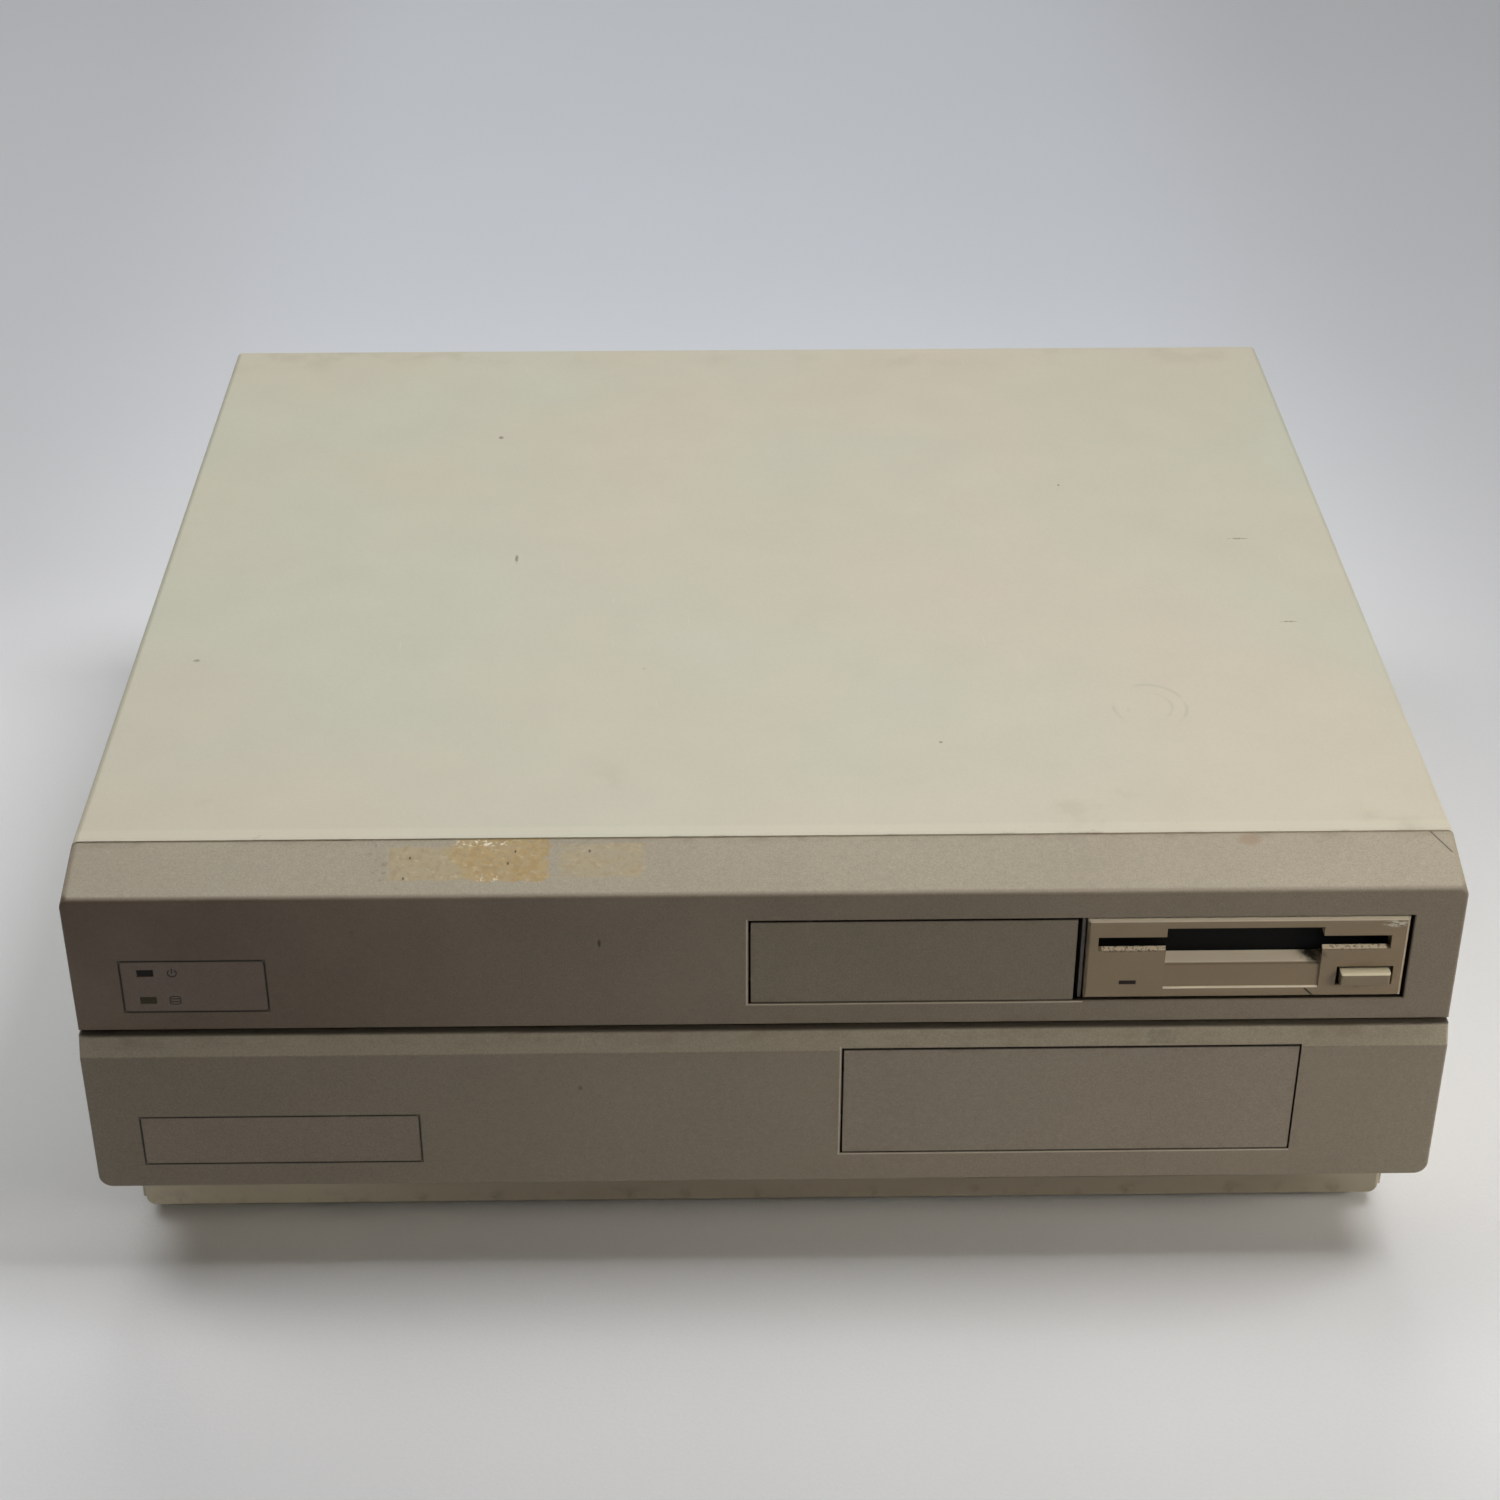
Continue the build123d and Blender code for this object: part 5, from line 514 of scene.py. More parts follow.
def bezel_plastic():
    """Warmer moulding of the floppy drive's front, with painted highlights on its top edge, its sills and the
    ledges of its grip, paler along its right edge, painted shade in the button's well, and dirty where fingers
    go.
    """
    plastic = Finish("bezel_plastic", (0.290, 0.217, 0.130), 0.48, {"Specular IOR Level": 0.4})
    x, y, z = plastic.place()
    low, high = bezel
    height = z - low[2]
    depth = y - low[1]
    grain = plastic.noise(0.5, 2.0)
    plastic.vary(grain, 0.08)
    plastic.vary(plastic.noise(14, 4.0, seed=41), 0.09)
    # painted highlight along the top edge
    plastic.tint((0.90, 0.79, 0.60), plastic.ramp(z, high[2] - 1.0, high[2] - 0.8) * 0.95)
    plastic.tint((0.60, 0.50, 0.36), plastic.ramp(x, high[0] - 0.9, high[0] - 0.7) * 0.8)
    grip = abs(x - slot_middle) < grip_half
    beside_grip = (1 - grip) * (abs(x - slot_middle) < slot_half)
    # painted highlight on the sills beside the grip
    plastic.tint((0.92, 0.79, 0.58), plastic.band(height, 18.7, 19.7, 0.1) * beside_grip * 0.9)
    # painted light on the upward slope of the grip
    slope = plastic.band(height, 12.8, 16.0, 0.4) * plastic.ramp(depth, 1.0, 1.3)
    plastic.tint((0.97, 0.85, 0.67), slope * grip)
    grip_face = plastic.band(height, 4.4, 12.6, 0.4) * (depth > 1.1)
    plastic.tint((0.335, 0.255, 0.172), grip_face * grip)
    # painted highlight on the grip's lower lip
    plastic.tint((0.95, 0.84, 0.66), plastic.band(height, 3.7, 4.4, 0.2) * grip)
    soil_bezel(plastic, x, height, beside_grip)
    well = plastic.spot(x, z, button_middle, (15.0, 8.0), 0.1)
    # painted shade in the button's well
    plastic.tint(painted_gap_shade, well * plastic.ramp(depth, 0.4, 1.6) * 0.8)
    scuff = plastic.spot(x, z, (high[0] - 4.5, high[2] - 2.2), (5.2, 1.7))
    plastic.tint((0.66, 0.60, 0.49), scuff * plastic.patches(0.44, 0.56, 1.1, 3.0, (0.5, 1, 1.4), seed=45))
    scratch = plastic.band(x - slot_middle + height, 23.55, 24.45, 0.2)
    scratch = scratch * plastic.band(height, 0.6, 3.4, 0.4) * (x > slot_middle)
    plastic.tint((0.04, 0.03, 0.02), scratch)
    rim = plastic.around(x, z, (low[0], low[2]), (high[0], high[2] + 3.0), 1.6)
    plastic.tint(grime, rim * plastic.patches(0.45, 0.7, 4, 5.0, seed=46) * 0.5)
    plastic.roughness = 0.42 + plastic.noise(12, 3.0, seed=47) * 0.14
    return plastic.close(plastic.bump(grain, 0.015))


def soil_bezel(plastic, x, height, beside_grip):
    """Specks on the sills, a black corner in the grip and finger dirt around the button."""
    sills = plastic.band(height, 18.2, 20.0, 0.6) * beside_grip
    plastic.tint((0.07, 0.05, 0.035), sills * plastic.patches(0.52, 0.66, 0.9, 3.0, seed=42) * 0.7)
    corner = plastic.spot(x, height, (slot_middle + 22.5, 15.5), (5.0, 4.0))
    plastic.tint((0.07, 0.06, 0.04), corner * plastic.patches(0.3, 0.6, 2.5, 4.0, seed=43) * 0.85)
    touched = plastic.spot(x, height, (button_middle[0] - 0.1, 8.0), (13.0, 7.5))
    plastic.tint(grime, touched * plastic.patches(0.45, 0.7, 3, 4.0, seed=44) * 0.4)


def button_plastic():
    """Eject button with a painted highlight on its top edge, and painted shade where it goes into its well."""
    plastic = Finish("button_plastic", (0.260, 0.200, 0.118), 0.4)
    y, z = plastic.place("yz")
    plastic.vary(plastic.noise(0.5, 2.0), 0.06)
    plastic.tint((0.25, 0.19, 0.11), plastic.patches(0.45, 0.7, 2, 4.0, seed=48) * 0.2)
    # painted highlight on the top edge
    plastic.tint((0.95, 0.85, 0.60), plastic.ramp(z, button_top - 0.8, button_top - 0.6))
    # painted shade where the button goes into its well
    plastic.tint(painted_gap_shade, plastic.ramp(y - span("eject_button")[0][1], 3.0, 3.6) * 0.8)
    return plastic.close(plastic.bump(plastic.noise(0.5, 2.0), 0.01))


def flap_plastic():
    """Matt black dust flap behind the disk slot."""
    flap = Finish("flap_plastic", (0.006, 0.006, 0.006), 0.7, {"Specular IOR Level": 0.12})
    flap.vary(flap.noise(1.2, 3.0), 0.3)
    return flap.close(flap.bump(flap.noise(0.6, 2.0), 0.01))


def slit_plastic():
    """Dark amber light of the floppy drive."""
    lens = Finish("slit_plastic", (0.022, 0.015, 0.009), 0.5, {"Specular IOR Level": 0.2})
    lens.vary(lens.noise(0.8, 2.0), 0.2)
    return lens.close(lens.bump(lens.noise(0.5, 2.0), 0.01))


def lens_plastic():
    """Indicator lights: smoke above, olive below, both dark while the machine is off."""
    lens = Finish("lens_plastic", (0.012, 0.009, 0.007), 0.5, {"Specular IOR Level": 0.15})
    z = lens.place("z")
    between = (lights[0][2] + lights[1][2]) / 2
    lens.tint((0.050, 0.043, 0.020), 1 - lens.ramp(z, between - 1, between + 1))
    lens.vary(lens.noise(0.8, 2.0), 0.2)
    lens.roughness = 0.4 + lens.noise(1.5, 2.0, seed=3) * 0.2
    return lens.close()


def dark_plastic(name, colour=(0.025, 0.025, 0.027), roughness=0.45):
    """Black moulding inside and at the back, a little dusty."""
    plastic = Finish(name, colour, roughness)
    plastic.vary(plastic.noise(0.8, 2.0), 0.15)
    plastic.vary(plastic.noise(14, 4.0, seed=51), 0.15)
    dust = plastic.patches(0.5, 0.8, 5, 5.0, seed=52)
    plastic.tint((0.30, 0.28, 0.24), dust * 0.12)
    plastic.roughness = dust * 0.25 + roughness
    return plastic.close(plastic.bump(plastic.noise(0.6, 2.0), 0.015))


def foot_rubber():
    """Black rubber, grey with dust in places."""
    rubber = Finish("foot_rubber", (0.035, 0.035, 0.035), 0.75)
    rubber.vary(rubber.noise(1.5, 4.0), 0.3)
    rubber.tint((0.25, 0.23, 0.20), rubber.patches(0.5, 0.8, 4, 5.0, seed=91) * 0.3)
    return rubber.close(rubber.bump(rubber.noise(0.8, 3.0), 0.03))


# ---- metals ----------------------------------------------------------------------------------------------
def plated_steel(name, colour=(0.56, 0.56, 0.54), size=9.0):
    """Zinc-plated sheet: spangle, rolling lines and dull patches."""
    metal = Finish(name, colour, 0.35, {"Metallic": 0.9})
    spangle = metal.facets(size)
    metal.vary(spangle, 0.07)
    metal.vary(metal.noise(2.0, 3.0, (1, 12, 12), seed=55), 0.05)
    metal.tint((0.42, 0.41, 0.38), metal.patches(0.5, 0.75, 30, 5.0, seed=56) * 0.4)
    metal.roughness = 0.28 + spangle * 0.12 + metal.noise(12, 4.0, seed=57) * 0.14
    return metal.close(metal.bump(metal.noise(3.0, 2.0, seed=58), 0.02))


def cage_steel():
    """Dull plated sheet of the drive cage, with painted shade on the divider's bare front edge, which is also
    matt and not metallic there.
    """
    metal = Finish("cage_steel", (0.40, 0.39, 0.37), 0.5)
    spangle = metal.facets(9.0)
    metal.vary(spangle, 0.08)
    # painted shade: the front of the divider is dark, matt and not metallic
    front = 1 - metal.ramp(metal.place("y"), -184.0, -176.0)
    metal.tint((0.16, 0.145, 0.125), front)
    metal.vary(metal.noise(3, 4.0, seed=59), 0.12)
    metal.roughness = 0.34 + spangle * 0.12 + front * 0.3
    return metal.close(metal.bump(metal.noise(3.0, 2.0, seed=58), 0.02), (1 - front) * 0.85)


def bright_metal(name, colour, roughness=0.22):
    """Nickel, chrome, brass or cast aluminium with fine scratches."""
    metal = Finish(name, colour, roughness, {"Metallic": 1.0})
    metal.vary(metal.noise(1.2, 3.0), 0.08)
    metal.tint([c * 0.55 for c in colour], metal.patches(0.55, 0.8, 4, 5.0, seed=61) * 0.5)
    metal.roughness = roughness + metal.noise(3, 4.0, seed=62) * 0.2
    return metal.close(metal.bump(metal.noise(0.4, 2.0, (1, 1, 6), seed=63), 0.006))


def turned_metal(name, colour, node, pitch, hub=0.0):
    """Metal with rings from the lathe around a node's upright axis, and bare steel within a hub's radius."""
    metal = Finish(name, colour, 0.2, {"Metallic": 1.0})
    x, y = metal.place("xy")
    middle = middle_of(node)
    radius = distance(x - middle[0], y - middle[1])
    metal.tint(hub_steel, radius < hub)
    rings = radius.repeat(pitch) / pitch
    metal.vary(rings + 0.25, 0.08)
    metal.vary(metal.noise(9, 3.0, seed=65), 0.06)
    metal.roughness = 0.14 + rings * 0.25
    return metal.close(metal.bump(rings, 0.01))


# ---- boards, chips and cables ----------------------------------------------------------------------------
def solder_mask(name, colour, pitch=contact_pitch):
    """Board with traces under the mask, and through-hole pads."""
    board = Finish(name, colour, 0.35, {"Coat Weight": 0.2})
    x, y = board.place("xy")
    region = board.facets(17.0)
    along = 1 - board.ramp(x.repeat(pitch / 2), 0.18, 0.24)
    across = 1 - board.ramp(y.repeat(pitch / 2), 0.18, 0.24)
    traces = along * (region > 0.5) + across * (region < 0.5)
    board.tint([min(1.0, c * 1.9 + 0.02) for c in colour], traces * board.patches(0.4, 0.5, 16, 2.0, seed=71))
    pads = 1 - board.ramp(distance(x.repeat(pitch), y.repeat(pitch)), 0.55, 0.62)
    pads = pads * board.patches(0.5, 0.52, 24, 1.0, seed=72)
    board.tint((0.55, 0.53, 0.48), pads)
    board.vary(board.noise(30, 4.0, seed=73), 0.12)
    board.roughness = 0.3 + board.noise(20, 4.0, seed=74) * 0.2
    return board.close(board.bump(traces + pads, 0.03))


def card_finish():
    """Controller card: board, gilt tongue, black chips on its one side and a plated bracket behind."""
    board = Finish("card_finish", (0.03, 0.16, 0.06), 0.35)
    x, y, z = board.place()
    low, high = span("controller_card")
    traces = 1 - board.ramp(z.repeat(contact_pitch / 2), 0.18, 0.24)
    traces = traces * board.patches(0.45, 0.55, 16, 2.0, seed=78)
    board.tint((0.09, 0.32, 0.14), traces)
    board.tint(gilt, z < low[2] + 6.5)
    board.tint((0.022, 0.022, 0.024), x < middle_of("controller_card")[0] - 1.0)
    bracket = (y > span("rear_panel")[0][1] - 1.3).larger(z > high[2] - 1.4)
    board.tint(plated, bracket)
    board.vary(board.noise(9, 4.0, seed=79), 0.10)
    board.roughness = 0.32 + board.noise(12, 3.0, seed=80) * 0.2
    return board.close(board.bump(traces * (1 - bracket), 0.03), bracket * 0.9)


def chip_epoxy():
    """Moulded chip bodies, dusty."""
    epoxy = Finish("chip_epoxy", (0.022, 0.022, 0.024), 0.5)
    epoxy.vary(epoxy.noise(0.6, 2.0), 0.25)
    epoxy.tint((0.20, 0.19, 0.17), epoxy.patches(0.45, 0.8, 12, 5.0, seed=76) * 0.15)
    epoxy.roughness = 0.42 + epoxy.noise(5, 3.0, seed=77) * 0.25
    return epoxy.close(epoxy.bump(epoxy.noise(0.5, 2.0), 0.02))


def capacitor_sleeve():
    """Shrink sleeve with a stripe, and the bare aluminium top."""
    sleeve = Finish("capacitor_sleeve", (0.03, 0.05, 0.16), 0.3, {"Coat Weight": 0.4})
    y, z = sleeve.place("yz")
    rim = span("board_capacitors")[1][2]
    top = sleeve.ramp(z, rim - 0.3, rim - 0.1)
    sleeve.tint((0.55, 0.58, 0.62), sleeve.band(y, -116, -113.6, 0.2) * (1 - top))
    sleeve.tint((0.60, 0.60, 0.60), top)
    sleeve.vary(sleeve.noise(6, 3.0), 0.08)
    return sleeve.close(sleeve.bump(sleeve.noise(2, 2.0), 0.02), top * 0.9)


def slot_plastic():
    """Expansion connectors with rows of gilt contacts in their grooves."""
    plastic = Finish("slot_plastic", (0.03, 0.03, 0.032), 0.4)
    x, y = plastic.place("xy")
    contacts = 1 - plastic.ramp(y.repeat(contact_pitch), 0.45, 0.55)
    middles = [first_slot_x + slot_pitch * index for index in range(slot_count)]
    grooves = joined([1 - plastic.ramp(abs(x - middle), 1.2, 1.7) for middle in middles])
    gilded = contacts * grooves
    plastic.tint((0.75, 0.52, 0.18), gilded)
    plastic.vary(plastic.noise(8, 4.0), 0.15)
    plastic.roughness = 0.42 - gilded * 0.2
    return plastic.close(plastic.bump(plastic.noise(0.8, 2.0), 0.015), gilded)


def ribbon_plastic(name, axis, red_edge):
    """Grey flat cable, ridged along its wires, with one red edge wire. axis is the one across the wires."""
    ribbon = Finish(name, (0.42, 0.43, 0.45), 0.45)
    across = ribbon.place(axis)
    ridge = across.repeat(wire_pitch) / (wire_pitch / 2)
    ribbon.vary(1 - ridge, 0.12)
    ribbon.tint((0.50, 0.05, 0.04), 1 - ribbon.ramp(abs(across - red_edge), 0.9, 1.1))
    if name == "floppy_ribbon":
        ribbon.tint(black, 1 - ribbon.ramp(ribbon.place("z"), 22.0, 23.5))
    return ribbon.close(ribbon.bump((1 - ridge).power(2.0), 0.25))


def loom_plastic():
    """Bundle of coloured wires with a pale plug."""
    loom = Finish("loom_plastic", black, 0.4)
    x, z = loom.place("xz")
    middle = middle_of("power_loom")[0]
    for offset, tone in ((-2.2, (0.50, 0.03, 0.02)), (0.0, (0.60, 0.42, 0.03)), (2.2, (0.30, 0.07, 0.30))):
        loom.tint(tone, 1 - loom.ramp(abs(x - middle - offset), 0.8, 1.1))
    loom.tint((0.60, 0.57, 0.48), 1 - loom.ramp(z, 26.0, 26.5))
    loom.vary(loom.noise(5, 3.0), 0.1)
    return loom.close(loom.bump((x - middle).repeat(2.2), 0.5))


def supply_finish():
    """Sleeved capacitors of the power supply at the left, its taped transformer and choke at the right."""
    part = Finish("supply_part_finish", (0.04, 0.05, 0.10), 0.4)
    x, z = part.place("xz")
    coils = part.ramp(x, 105.0, 107.0)
    taped = part.band(z, 60.0, 78.0, 0.5)
    part.tint((0.55, 0.38, 0.05), coils * taped)
    part.tint((0.05, 0.045, 0.04), coils * (1 - taped))
    part.vary(part.noise(4, 3.0), 0.12)
    return part.close(part.bump(z.repeat(1.2), 0.2))


# ---- ports -----------------------------------------------------------------------------------------------
# name, x, contacts, whether it has pins, and the tone of its core
rear_ports = [
    ("serial_port", 60.0, 25, True, black),
    ("parallel_port", -20.0, 25, False, port_blue),
    ("drive_port", -92.0, 23, False, black),
    ("video_port", -158.0, 23, True, port_blue),
]
controller_places = [132.0, 88.0]


def port_metal(name, places, contacts, core_tone, wall_y, outward, pinned):
    """Plated shells of one node's D-shaped ports, their insulating cores and the gilt pins of some."""
    metal = Finish(name, (0.62, 0.61, 0.57), 0.28)
    x, y, z = metal.place()
    metal.vary(metal.noise(1.5, 3.0), 0.07)
    metal.tint((0.40, 0.38, 0.33), metal.patches(0.5, 0.8, 6, 5.0, seed=81) * 0.4)
    height = z - port_height
    level = 1 - metal.ramp(abs(height), core_half_height - 0.05, core_half_height + 0.05)
    cores = []
    for place in places:
        beyond = abs(x - place) - core_halves[contacts] - height * port_slope
        cores.append((1 - metal.ramp(beyond, -0.05, 0.05)) * level)
    reach = (y - wall_y) * outward
    behind = 1 - metal.ramp(reach, -1.3, -1.1)
    core = joined([*cores, behind])
    metal.tint(core_tone, core)
    bare = 1 - core
    if pinned:
        pins = core * metal.ramp(reach, 0.3, 0.5) * (1 - behind)
        metal.tint(gilt, pins)
        bare = bare.larger(pins)
    metal.roughness = 0.28 + core * 0.2
    return metal.close(metal.bump(metal.noise(0.8, 2.0), 0.01), bare)


def jack_plastic():
    """Phono jacks: plated barrels with a coloured insert, on a black block."""
    jack = Finish("jack_plastic", black, 0.4)
    x, y, z = jack.place()
    outside = jack.ramp(y, pan[1][1] - 0.1, pan[1][1] + 0.1)
    barrels = []
    for index, tone in enumerate((plated, (0.45, 0.03, 0.02), (0.65, 0.45, 0.03))):
        radius = distance(x - (first_jack_x + jack_pitch * index), z - port_height)
        barrels.append(jack.ramp(radius, 3.25, 3.35) * (radius < 4.4))
        jack.tint(tone, (1 - jack.ramp(radius, 3.2, 3.3)) * jack.ramp(radius, 1.5, 1.7) * outside)
    barrel = joined(barrels) * outside
    jack.tint((0.62, 0.61, 0.58), barrel)
    jack.vary(jack.noise(2, 3.0), 0.08)
    jack.roughness = 0.4 - barrel * 0.18
    return jack.close(jack.bump(jack.noise(0.8, 2.0), 0.01), barrel)


def socket_plastic():
    """Round keyboard socket with a plated ring."""
    socket = Finish("socket_plastic", (0.025, 0.025, 0.027), 0.4)
    x, y, z = socket.place()
    radius = distance(x - socket_middle[0], z - socket_middle[1])
    plating = socket.band(radius, 6.9, 8.3, 0.1) * (y < span("keyboard_socket")[0][1] + 9)
    socket.tint((0.60, 0.60, 0.57), plating)
    socket.vary(socket.noise(2, 3.0), 0.1)
    socket.roughness = 0.42 - plating * 0.15
    return socket.close(socket.bump(socket.noise(0.7, 2.0), 0.01), plating)


def inlet_plastic():
    """Mains inlet with plated pins."""
    inlet = Finish("inlet_plastic", (0.025, 0.025, 0.027), 0.38)
    x, y, z = inlet.place()
    pins = joined([(abs(x - px) < 1.05) * (abs(z - pz) < 2.05) for px, pz in inlet_pins])
    pins = pins * (y > 177.4) * (y < 190.0)
    inlet.tint((0.66, 0.58, 0.40), pins)
    inlet.vary(inlet.noise(2, 3.0), 0.12)
    inlet.roughness = 0.38 + inlet.noise(5, 3.0, seed=84) * 0.15
    return inlet.close(inlet.bump(inlet.noise(0.6, 2.0), 0.012), pins)


# ---- every CAD node gets its finish ----------------------------------------------------------------------
def dress_casing():
    dress(cover_paint(), "top_cover")
    dress(pan_paint("pan_paint", (0.56, 0.495, 0.365)), "base_pan")
    dress(pan_paint("rear_paint", (0.58, 0.56, 0.45)), "rear_panel")
    dress(fascia_plastic(), "front_fascia")
    dress(front_plastic("small_blank_plastic", (0.220, 0.182, 0.125), small_blank, 0.4), "small_bay_blank")
    dress(front_plastic("large_blank_plastic", (0.302, 0.252, 0.190), large_blank, 0.4), "large_bay_blank")
    dress(front_plastic("indicator_panel_plastic", (0.165, 0.122, 0.089), panel, 0.5), "indicator_panel")
    dress(front_plastic("name_plate_plastic", (0.256, 0.204, 0.151), plate, 0.35), "name_plate")
    dress(bezel_plastic(), "floppy_bezel")
    dress(button_plastic(), "eject_button")
    dress(lens_plastic(), "indicator_lights")
    dress(slit_plastic(), "floppy_light")
    dress(flap_plastic(), "dust_flap")
    dress(foot_rubber(), "rubber_feet")
    dress(plated_steel("shield_steel"), "front_shield")
    dress(plated_steel("slot_cover_steel", plated, 6.0), "slot_covers")
    dress(bright_metal("screw_nickel", (0.62, 0.60, 0.56)), "outer_screws", "chassis_screws", "port_jackscrews")


def dress_drives():
    dress(cage_steel(), "drive_cage")
    dress(plated_steel("drive_steel", hub_steel, 7.0), "floppy_lid", "disk_cradle")
    dress(bright_metal("cast_aluminium", (0.50, 0.50, 0.50), 0.42), "floppy_frame", "supply_heat_sinks")
    dress(bright_metal("drawn_can", (0.52, 0.52, 0.51), 0.28), "stepper_motor", "lead_screw")
    dress(bright_metal("pressed_aluminium", (0.60, 0.60, 0.60), 0.32), "hard_disk_lid", "head_arm")
    dress(dark_plastic("casting_black", (0.03, 0.03, 0.032), 0.5), "hard_disk_casting")
    dress(dark_plastic("carriage_plastic", black, 0.5), "head_carriage")
    dress(turned_metal("platter_coat", (0.36, 0.24, 0.16), "hard_disk_platters", 0.9, platter_hub),
          "hard_disk_platters")
    dress(turned_metal("hub_steel", hub_steel, "spindle_hub", 0.6), "spindle_hub")
    dress(solder_mask("floppy_board_mask", (0.02, 0.11, 0.05)), "floppy_board")


def dress_boards():
    dress(solder_mask("main_board_mask", board_green), "main_board")
    dress(bright_metal("standoff_brass", (0.70, 0.52, 0.24), 0.28), "board_standoffs")
    dress(card_finish(), "controller_card")
    dress(dark_plastic("chip_socket_plastic"), "chip_sockets")
    dress(chip_epoxy(), "main_chips")
    dress(capacitor_sleeve(), "board_capacitors")
    dress(slot_plastic(), "expansion_connectors")
    dress(ribbon_plastic("floppy_ribbon", "x", span("floppy_ribbon")[0][0] + 1.5), "floppy_ribbon")
    dress(ribbon_plastic("hard_disk_ribbon", "y", span("hard_disk_ribbon")[1][1] - 1.0), "hard_disk_ribbon")
    dress(loom_plastic(), "power_loom")


def dress_ports():
    for name, place, contacts, pinned, core_tone in rear_ports:
        dress(port_metal(name, [place], contacts, core_tone, rear_wall_y, 1, pinned), name)
    dress(port_metal("controller_ports", controller_places, 9, black, recess_y, -1, True), "controller_ports")
    dress(jack_plastic(), "audio_jacks")
    dress(socket_plastic(), "keyboard_socket")


def dress_supply():
    dress(plated_steel("supply_steel", (0.54, 0.54, 0.52), 11.0), "supply_case", "supply_lid")
    dress(solder_mask("supply_board_laminate", (0.24, 0.15, 0.06), 5.08), "supply_board")
    dress(supply_finish(), "supply_parts")
    dress(bright_metal("guard_chrome", (0.68, 0.68, 0.68), 0.16), "fan_guard")
    dress(dark_plastic("fan_plastic", (0.022, 0.022, 0.024), 0.42), "fan_frame", "fan_rotor")
    dress(dark_plastic("switch_plastic", (0.02, 0.02, 0.022), 0.35), "switch_frame", "power_rocker")
    dress(inlet_plastic(), "mains_inlet")


# ---- printed marks ---------------------------------------------------------------------------------------
ink_thickness = 0.05
# corners of a piece of ink: 0 to 3 on the face, 4 to 7 in front of them
ink_sides = [(3, 2, 1, 0), (4, 5, 6, 7), (0, 1, 5, 4), (1, 2, 6, 5), (2, 3, 7, 6), (3, 0, 4, 7)]


def ring(middle, radii, width, start, end):
    """Four-cornered pieces of an arc, in the plane of a front face; angles in degrees from the right."""
    steps = 28
    pieces = []
    for index in range(steps):
        turns = [radians(start + (end - start) * (index + step) / steps) for step in (0, 1)]
        outer, inner = [[(middle[0] + (radii[0] - inset) * cos(t), middle[1] + (radii[1] - inset) * sin(t))
                         for t in turns] for inset in (0, width)]
        pieces.append([inner[0], outer[0], outer[1], inner[1]])
    return pieces


def bar(low, high):
    """Rectangle between two corners."""
    return [[low, (high[0], low[1]), high, (low[0], high[1])]]


def print_marks(name, pieces, place, finish, body):
    """Thin raised ink: pieces are (x, z) outlines with four corners, place puts them on the face."""
    corners = []
    faces = []
    for outline in pieces:
        faces += [[len(corners) + corner for corner in side] for side in ink_sides]
        corners += [(a, y, b) for y in (0, -ink_thickness) for a, b in outline]
    mesh = bpy.data.meshes.new(name)
    mesh.from_pydata(corners, [], faces)
    mesh.transform(place @ Matrix.Scale(0.001, 4))
    mesh.materials.append(finish)
    marks = bpy.data.objects.new(name, mesh)
    bpy.context.collection.objects.link(marks)
    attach(marks, body)


def ink_finish(name, colour):
    """Matt ink, slightly worn."""
    ink = Finish(name, colour, 0.6)
    ink.vary(ink.noise(0.5, 3.0), 0.3)
    return ink.close(ink.bump(ink.noise(0.3, 2.0), 0.01))


def make_light_symbols():
    """Plain power and disk symbols beside the two indicator lights."""
    light_height = 2.4
    across = lights[1][0] + 6.0
    lower = lights[0][2] + light_height / 2
    upper = lights[1][2] - light_height / 2
    stroke = 0.42
    thin = stroke * 0.8
    size = 1.6
    wide = size * 1.15
    flat = size * 0.42
    pieces = ring((across, upper), (size, size), stroke, 125, 415)
    pieces += bar((across - stroke / 2, upper), (across + stroke / 2, upper + wide))
    pieces += ring((across, lower + size * 0.6), (wide, flat), thin, 0, 360)
    for drop in (0.15, 1.1):
        pieces += ring((across, lower - size * 0.6 * drop), (wide, flat), thin, 180, 360)
    for side in (-1, 1):
        edge = across + side * (wide - thin / 2)
        pieces += bar((edge - thin / 2, lower - size * 0.66), (edge + thin / 2, lower + size * 0.6))
    place = Matrix.Translation((0, upper_face_y / 1000, 0))
    print_marks("light_symbols", pieces, place, ink_finish("symbol_ink", (0.030, 0.024, 0.018)), "computer")


def make_rocker_marks():
    """Line and ring on the two halves of the mains switch, each of which rises away from its middle."""
    rise = 2.1 / 9.8
    middle_reach = 2.6
    height = 5.0
    tilt = Matrix.Rotation(radians(rocker_rest), 4, "X")
    turn = Matrix.Rotation(pi, 4, "Z")
    for name, side, pieces in (("rocker_line", 1, bar((-0.5, -2.0), (0.5, 2.0))),
                               ("rocker_ring", -1, ring((0, 0), (2.0, 2.0), 0.7, 0, 360))):
        lean = Matrix.Rotation(-side * atan(rise), 4, "X")
        out = Matrix.Translation((0, (middle_reach + rise * height) / 1000, side * height / 1000))
        place = Matrix.Translation(rocker_pivot / 1000) @ tilt @ out @ lean @ turn
        print_marks(name, pieces, place, ink_finish(name + "_ink", (0.75, 0.75, 0.72)), "power_rocker")


# ---- camera, floor and light -----------------------------------------------------------------------------
camera_place = Vector((-0.01598, -0.91125, 0.64735))
camera_yaw = radians(0.88)
camera_pitch = radians(32.06)
camera_lens = 66.99
floor_half = 7.0
cool = (0.985, 0.99, 1.0)
warm = (1.0, 0.95, 0.87)


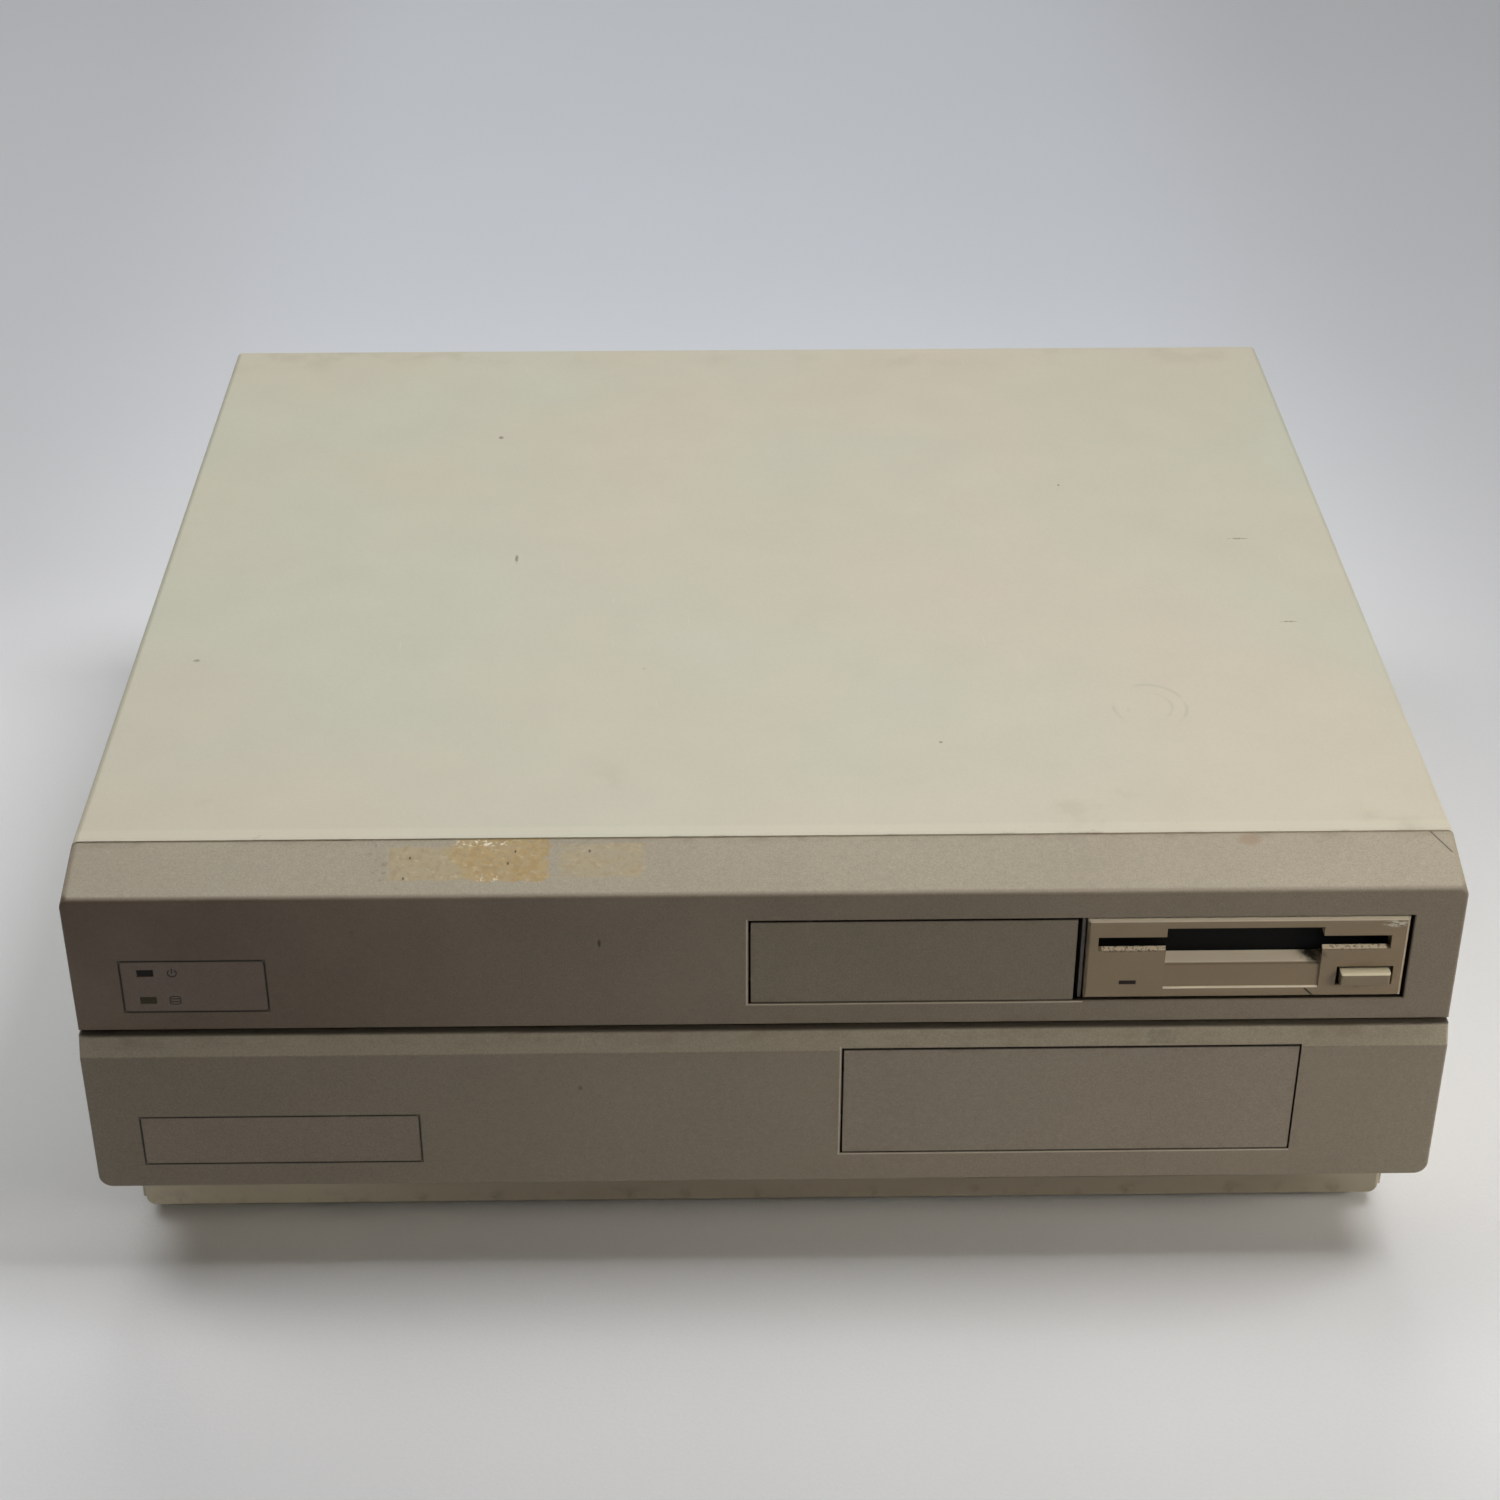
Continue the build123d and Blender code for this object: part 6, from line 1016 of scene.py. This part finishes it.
def make_camera():
    camera = bpy.data.objects.new("camera", bpy.data.cameras.new("camera"))
    camera.data.sensor_width = 36.0
    camera.data.lens = camera_lens
    camera.data.clip_end = 50.0
    camera.location = camera_place
    camera.rotation_euler = (pi / 2 - camera_pitch, 0.0, -camera_yaw)
    bpy.context.collection.objects.link(camera)
    bpy.context.scene.camera = camera


def make_floor():
    """Plain pale cloth, softly uneven, a little greyer far behind, and darker with painted shade far out at
    both sides and at the right.
    """
    mesh = bpy.data.meshes.new("floor")
    corners = [(-floor_half, -floor_half, 0), (floor_half, -floor_half, 0),
               (floor_half, floor_half, 0), (-floor_half, floor_half, 0)]
    mesh.from_pydata(corners, [], [(0, 1, 2, 3)])
    floor = bpy.data.objects.new("floor", mesh)
    bpy.context.collection.objects.link(floor)
    cloth = Finish("floor_cloth", (0.86, 0.86, 0.862), 0.85)
    x, y = cloth.place("xy")
    cloth.tint((0.71, 0.735, 0.775), cloth.ramp(y, 150, 700))
    # painted shade far out at both sides and at the right
    far_sides = cloth.ramp(abs(x), 200, 420) * cloth.ramp(y, 120, 320) * 0.8
    right_side = cloth.ramp(x, 200, 420) * cloth.ramp(y, -120, 120) * 0.8
    cloth.tint((0.62, 0.62, 0.63), far_sides.larger(right_side))
    cloth.vary(cloth.noise(420, 2.0), 0.03)
    cloth.vary(cloth.noise(1.2, 2.0), 0.03)
    folds = cloth.noise(260, 2.0, (1.0, 0.45, 1), seed=95)
    mesh.materials.append(cloth.close(cloth.bump(folds, 6.0, cloth.bump(cloth.noise(1.2, 2.0), 0.05))))


def area_light(name, place, aim, size, power, colour, spread=180):
    """Rectangular soft light at a place, turned to a point; spread in degrees narrows its beam."""
    light = bpy.data.lights.new(name, "AREA")
    light.shape = "RECTANGLE"
    light.size, light.size_y = size
    light.energy = power
    light.color = colour
    light.spread = radians(spread)
    holder = bpy.data.objects.new(name, light)
    holder.location = place
    holder.rotation_euler = (Vector(aim) - Vector(place)).to_track_quat("-Z", "Y").to_euler()
    bpy.context.collection.objects.link(holder)


def make_lights():
    """Daylight from behind and the left, a lamp over the right side, and a weak warm one low at the right."""
    world = bpy.data.worlds.new("studio")
    world.use_nodes = True
    world.node_tree.nodes["Background"].inputs["Color"].default_value = (0.97, 0.98, 1.0, 1.0)
    world.node_tree.nodes["Background"].inputs["Strength"].default_value = 0.02
    bpy.context.scene.world = world
    area_light("back_light", (0, 2.0, 2.3), (0, 2.0, 0), (1.8, 0.8), 31.6, cool)
    area_light("left_light", (-1.4, 0.2, 2.3), (-1.4, 0.2, 0), (0.8, 1.8), 8.0, cool)
    area_light("near_left_light", (-1.0, 0.3, 1.8), (-0.4, 0.1, 0), (0.6, 1.0), 2.3, cool, 100)
    area_light("over_light", (0.85, 0.0, 1.8), (0, 0, 0), (0.6, 0.8), 4.0, cool, 90)
    area_light("low_light", (0.8, -0.58, 0.45), (0.15, -0.2, 0.08), (0.3, 0.3), 0.38, warm, 60)
    bpy.context.scene.view_settings.view_transform = "Standard"


make_camera()
make_floor()
make_lights()
dress_casing()
dress_drives()
dress_boards()
dress_ports()
dress_supply()
make_light_symbols()
make_rocker_marks()
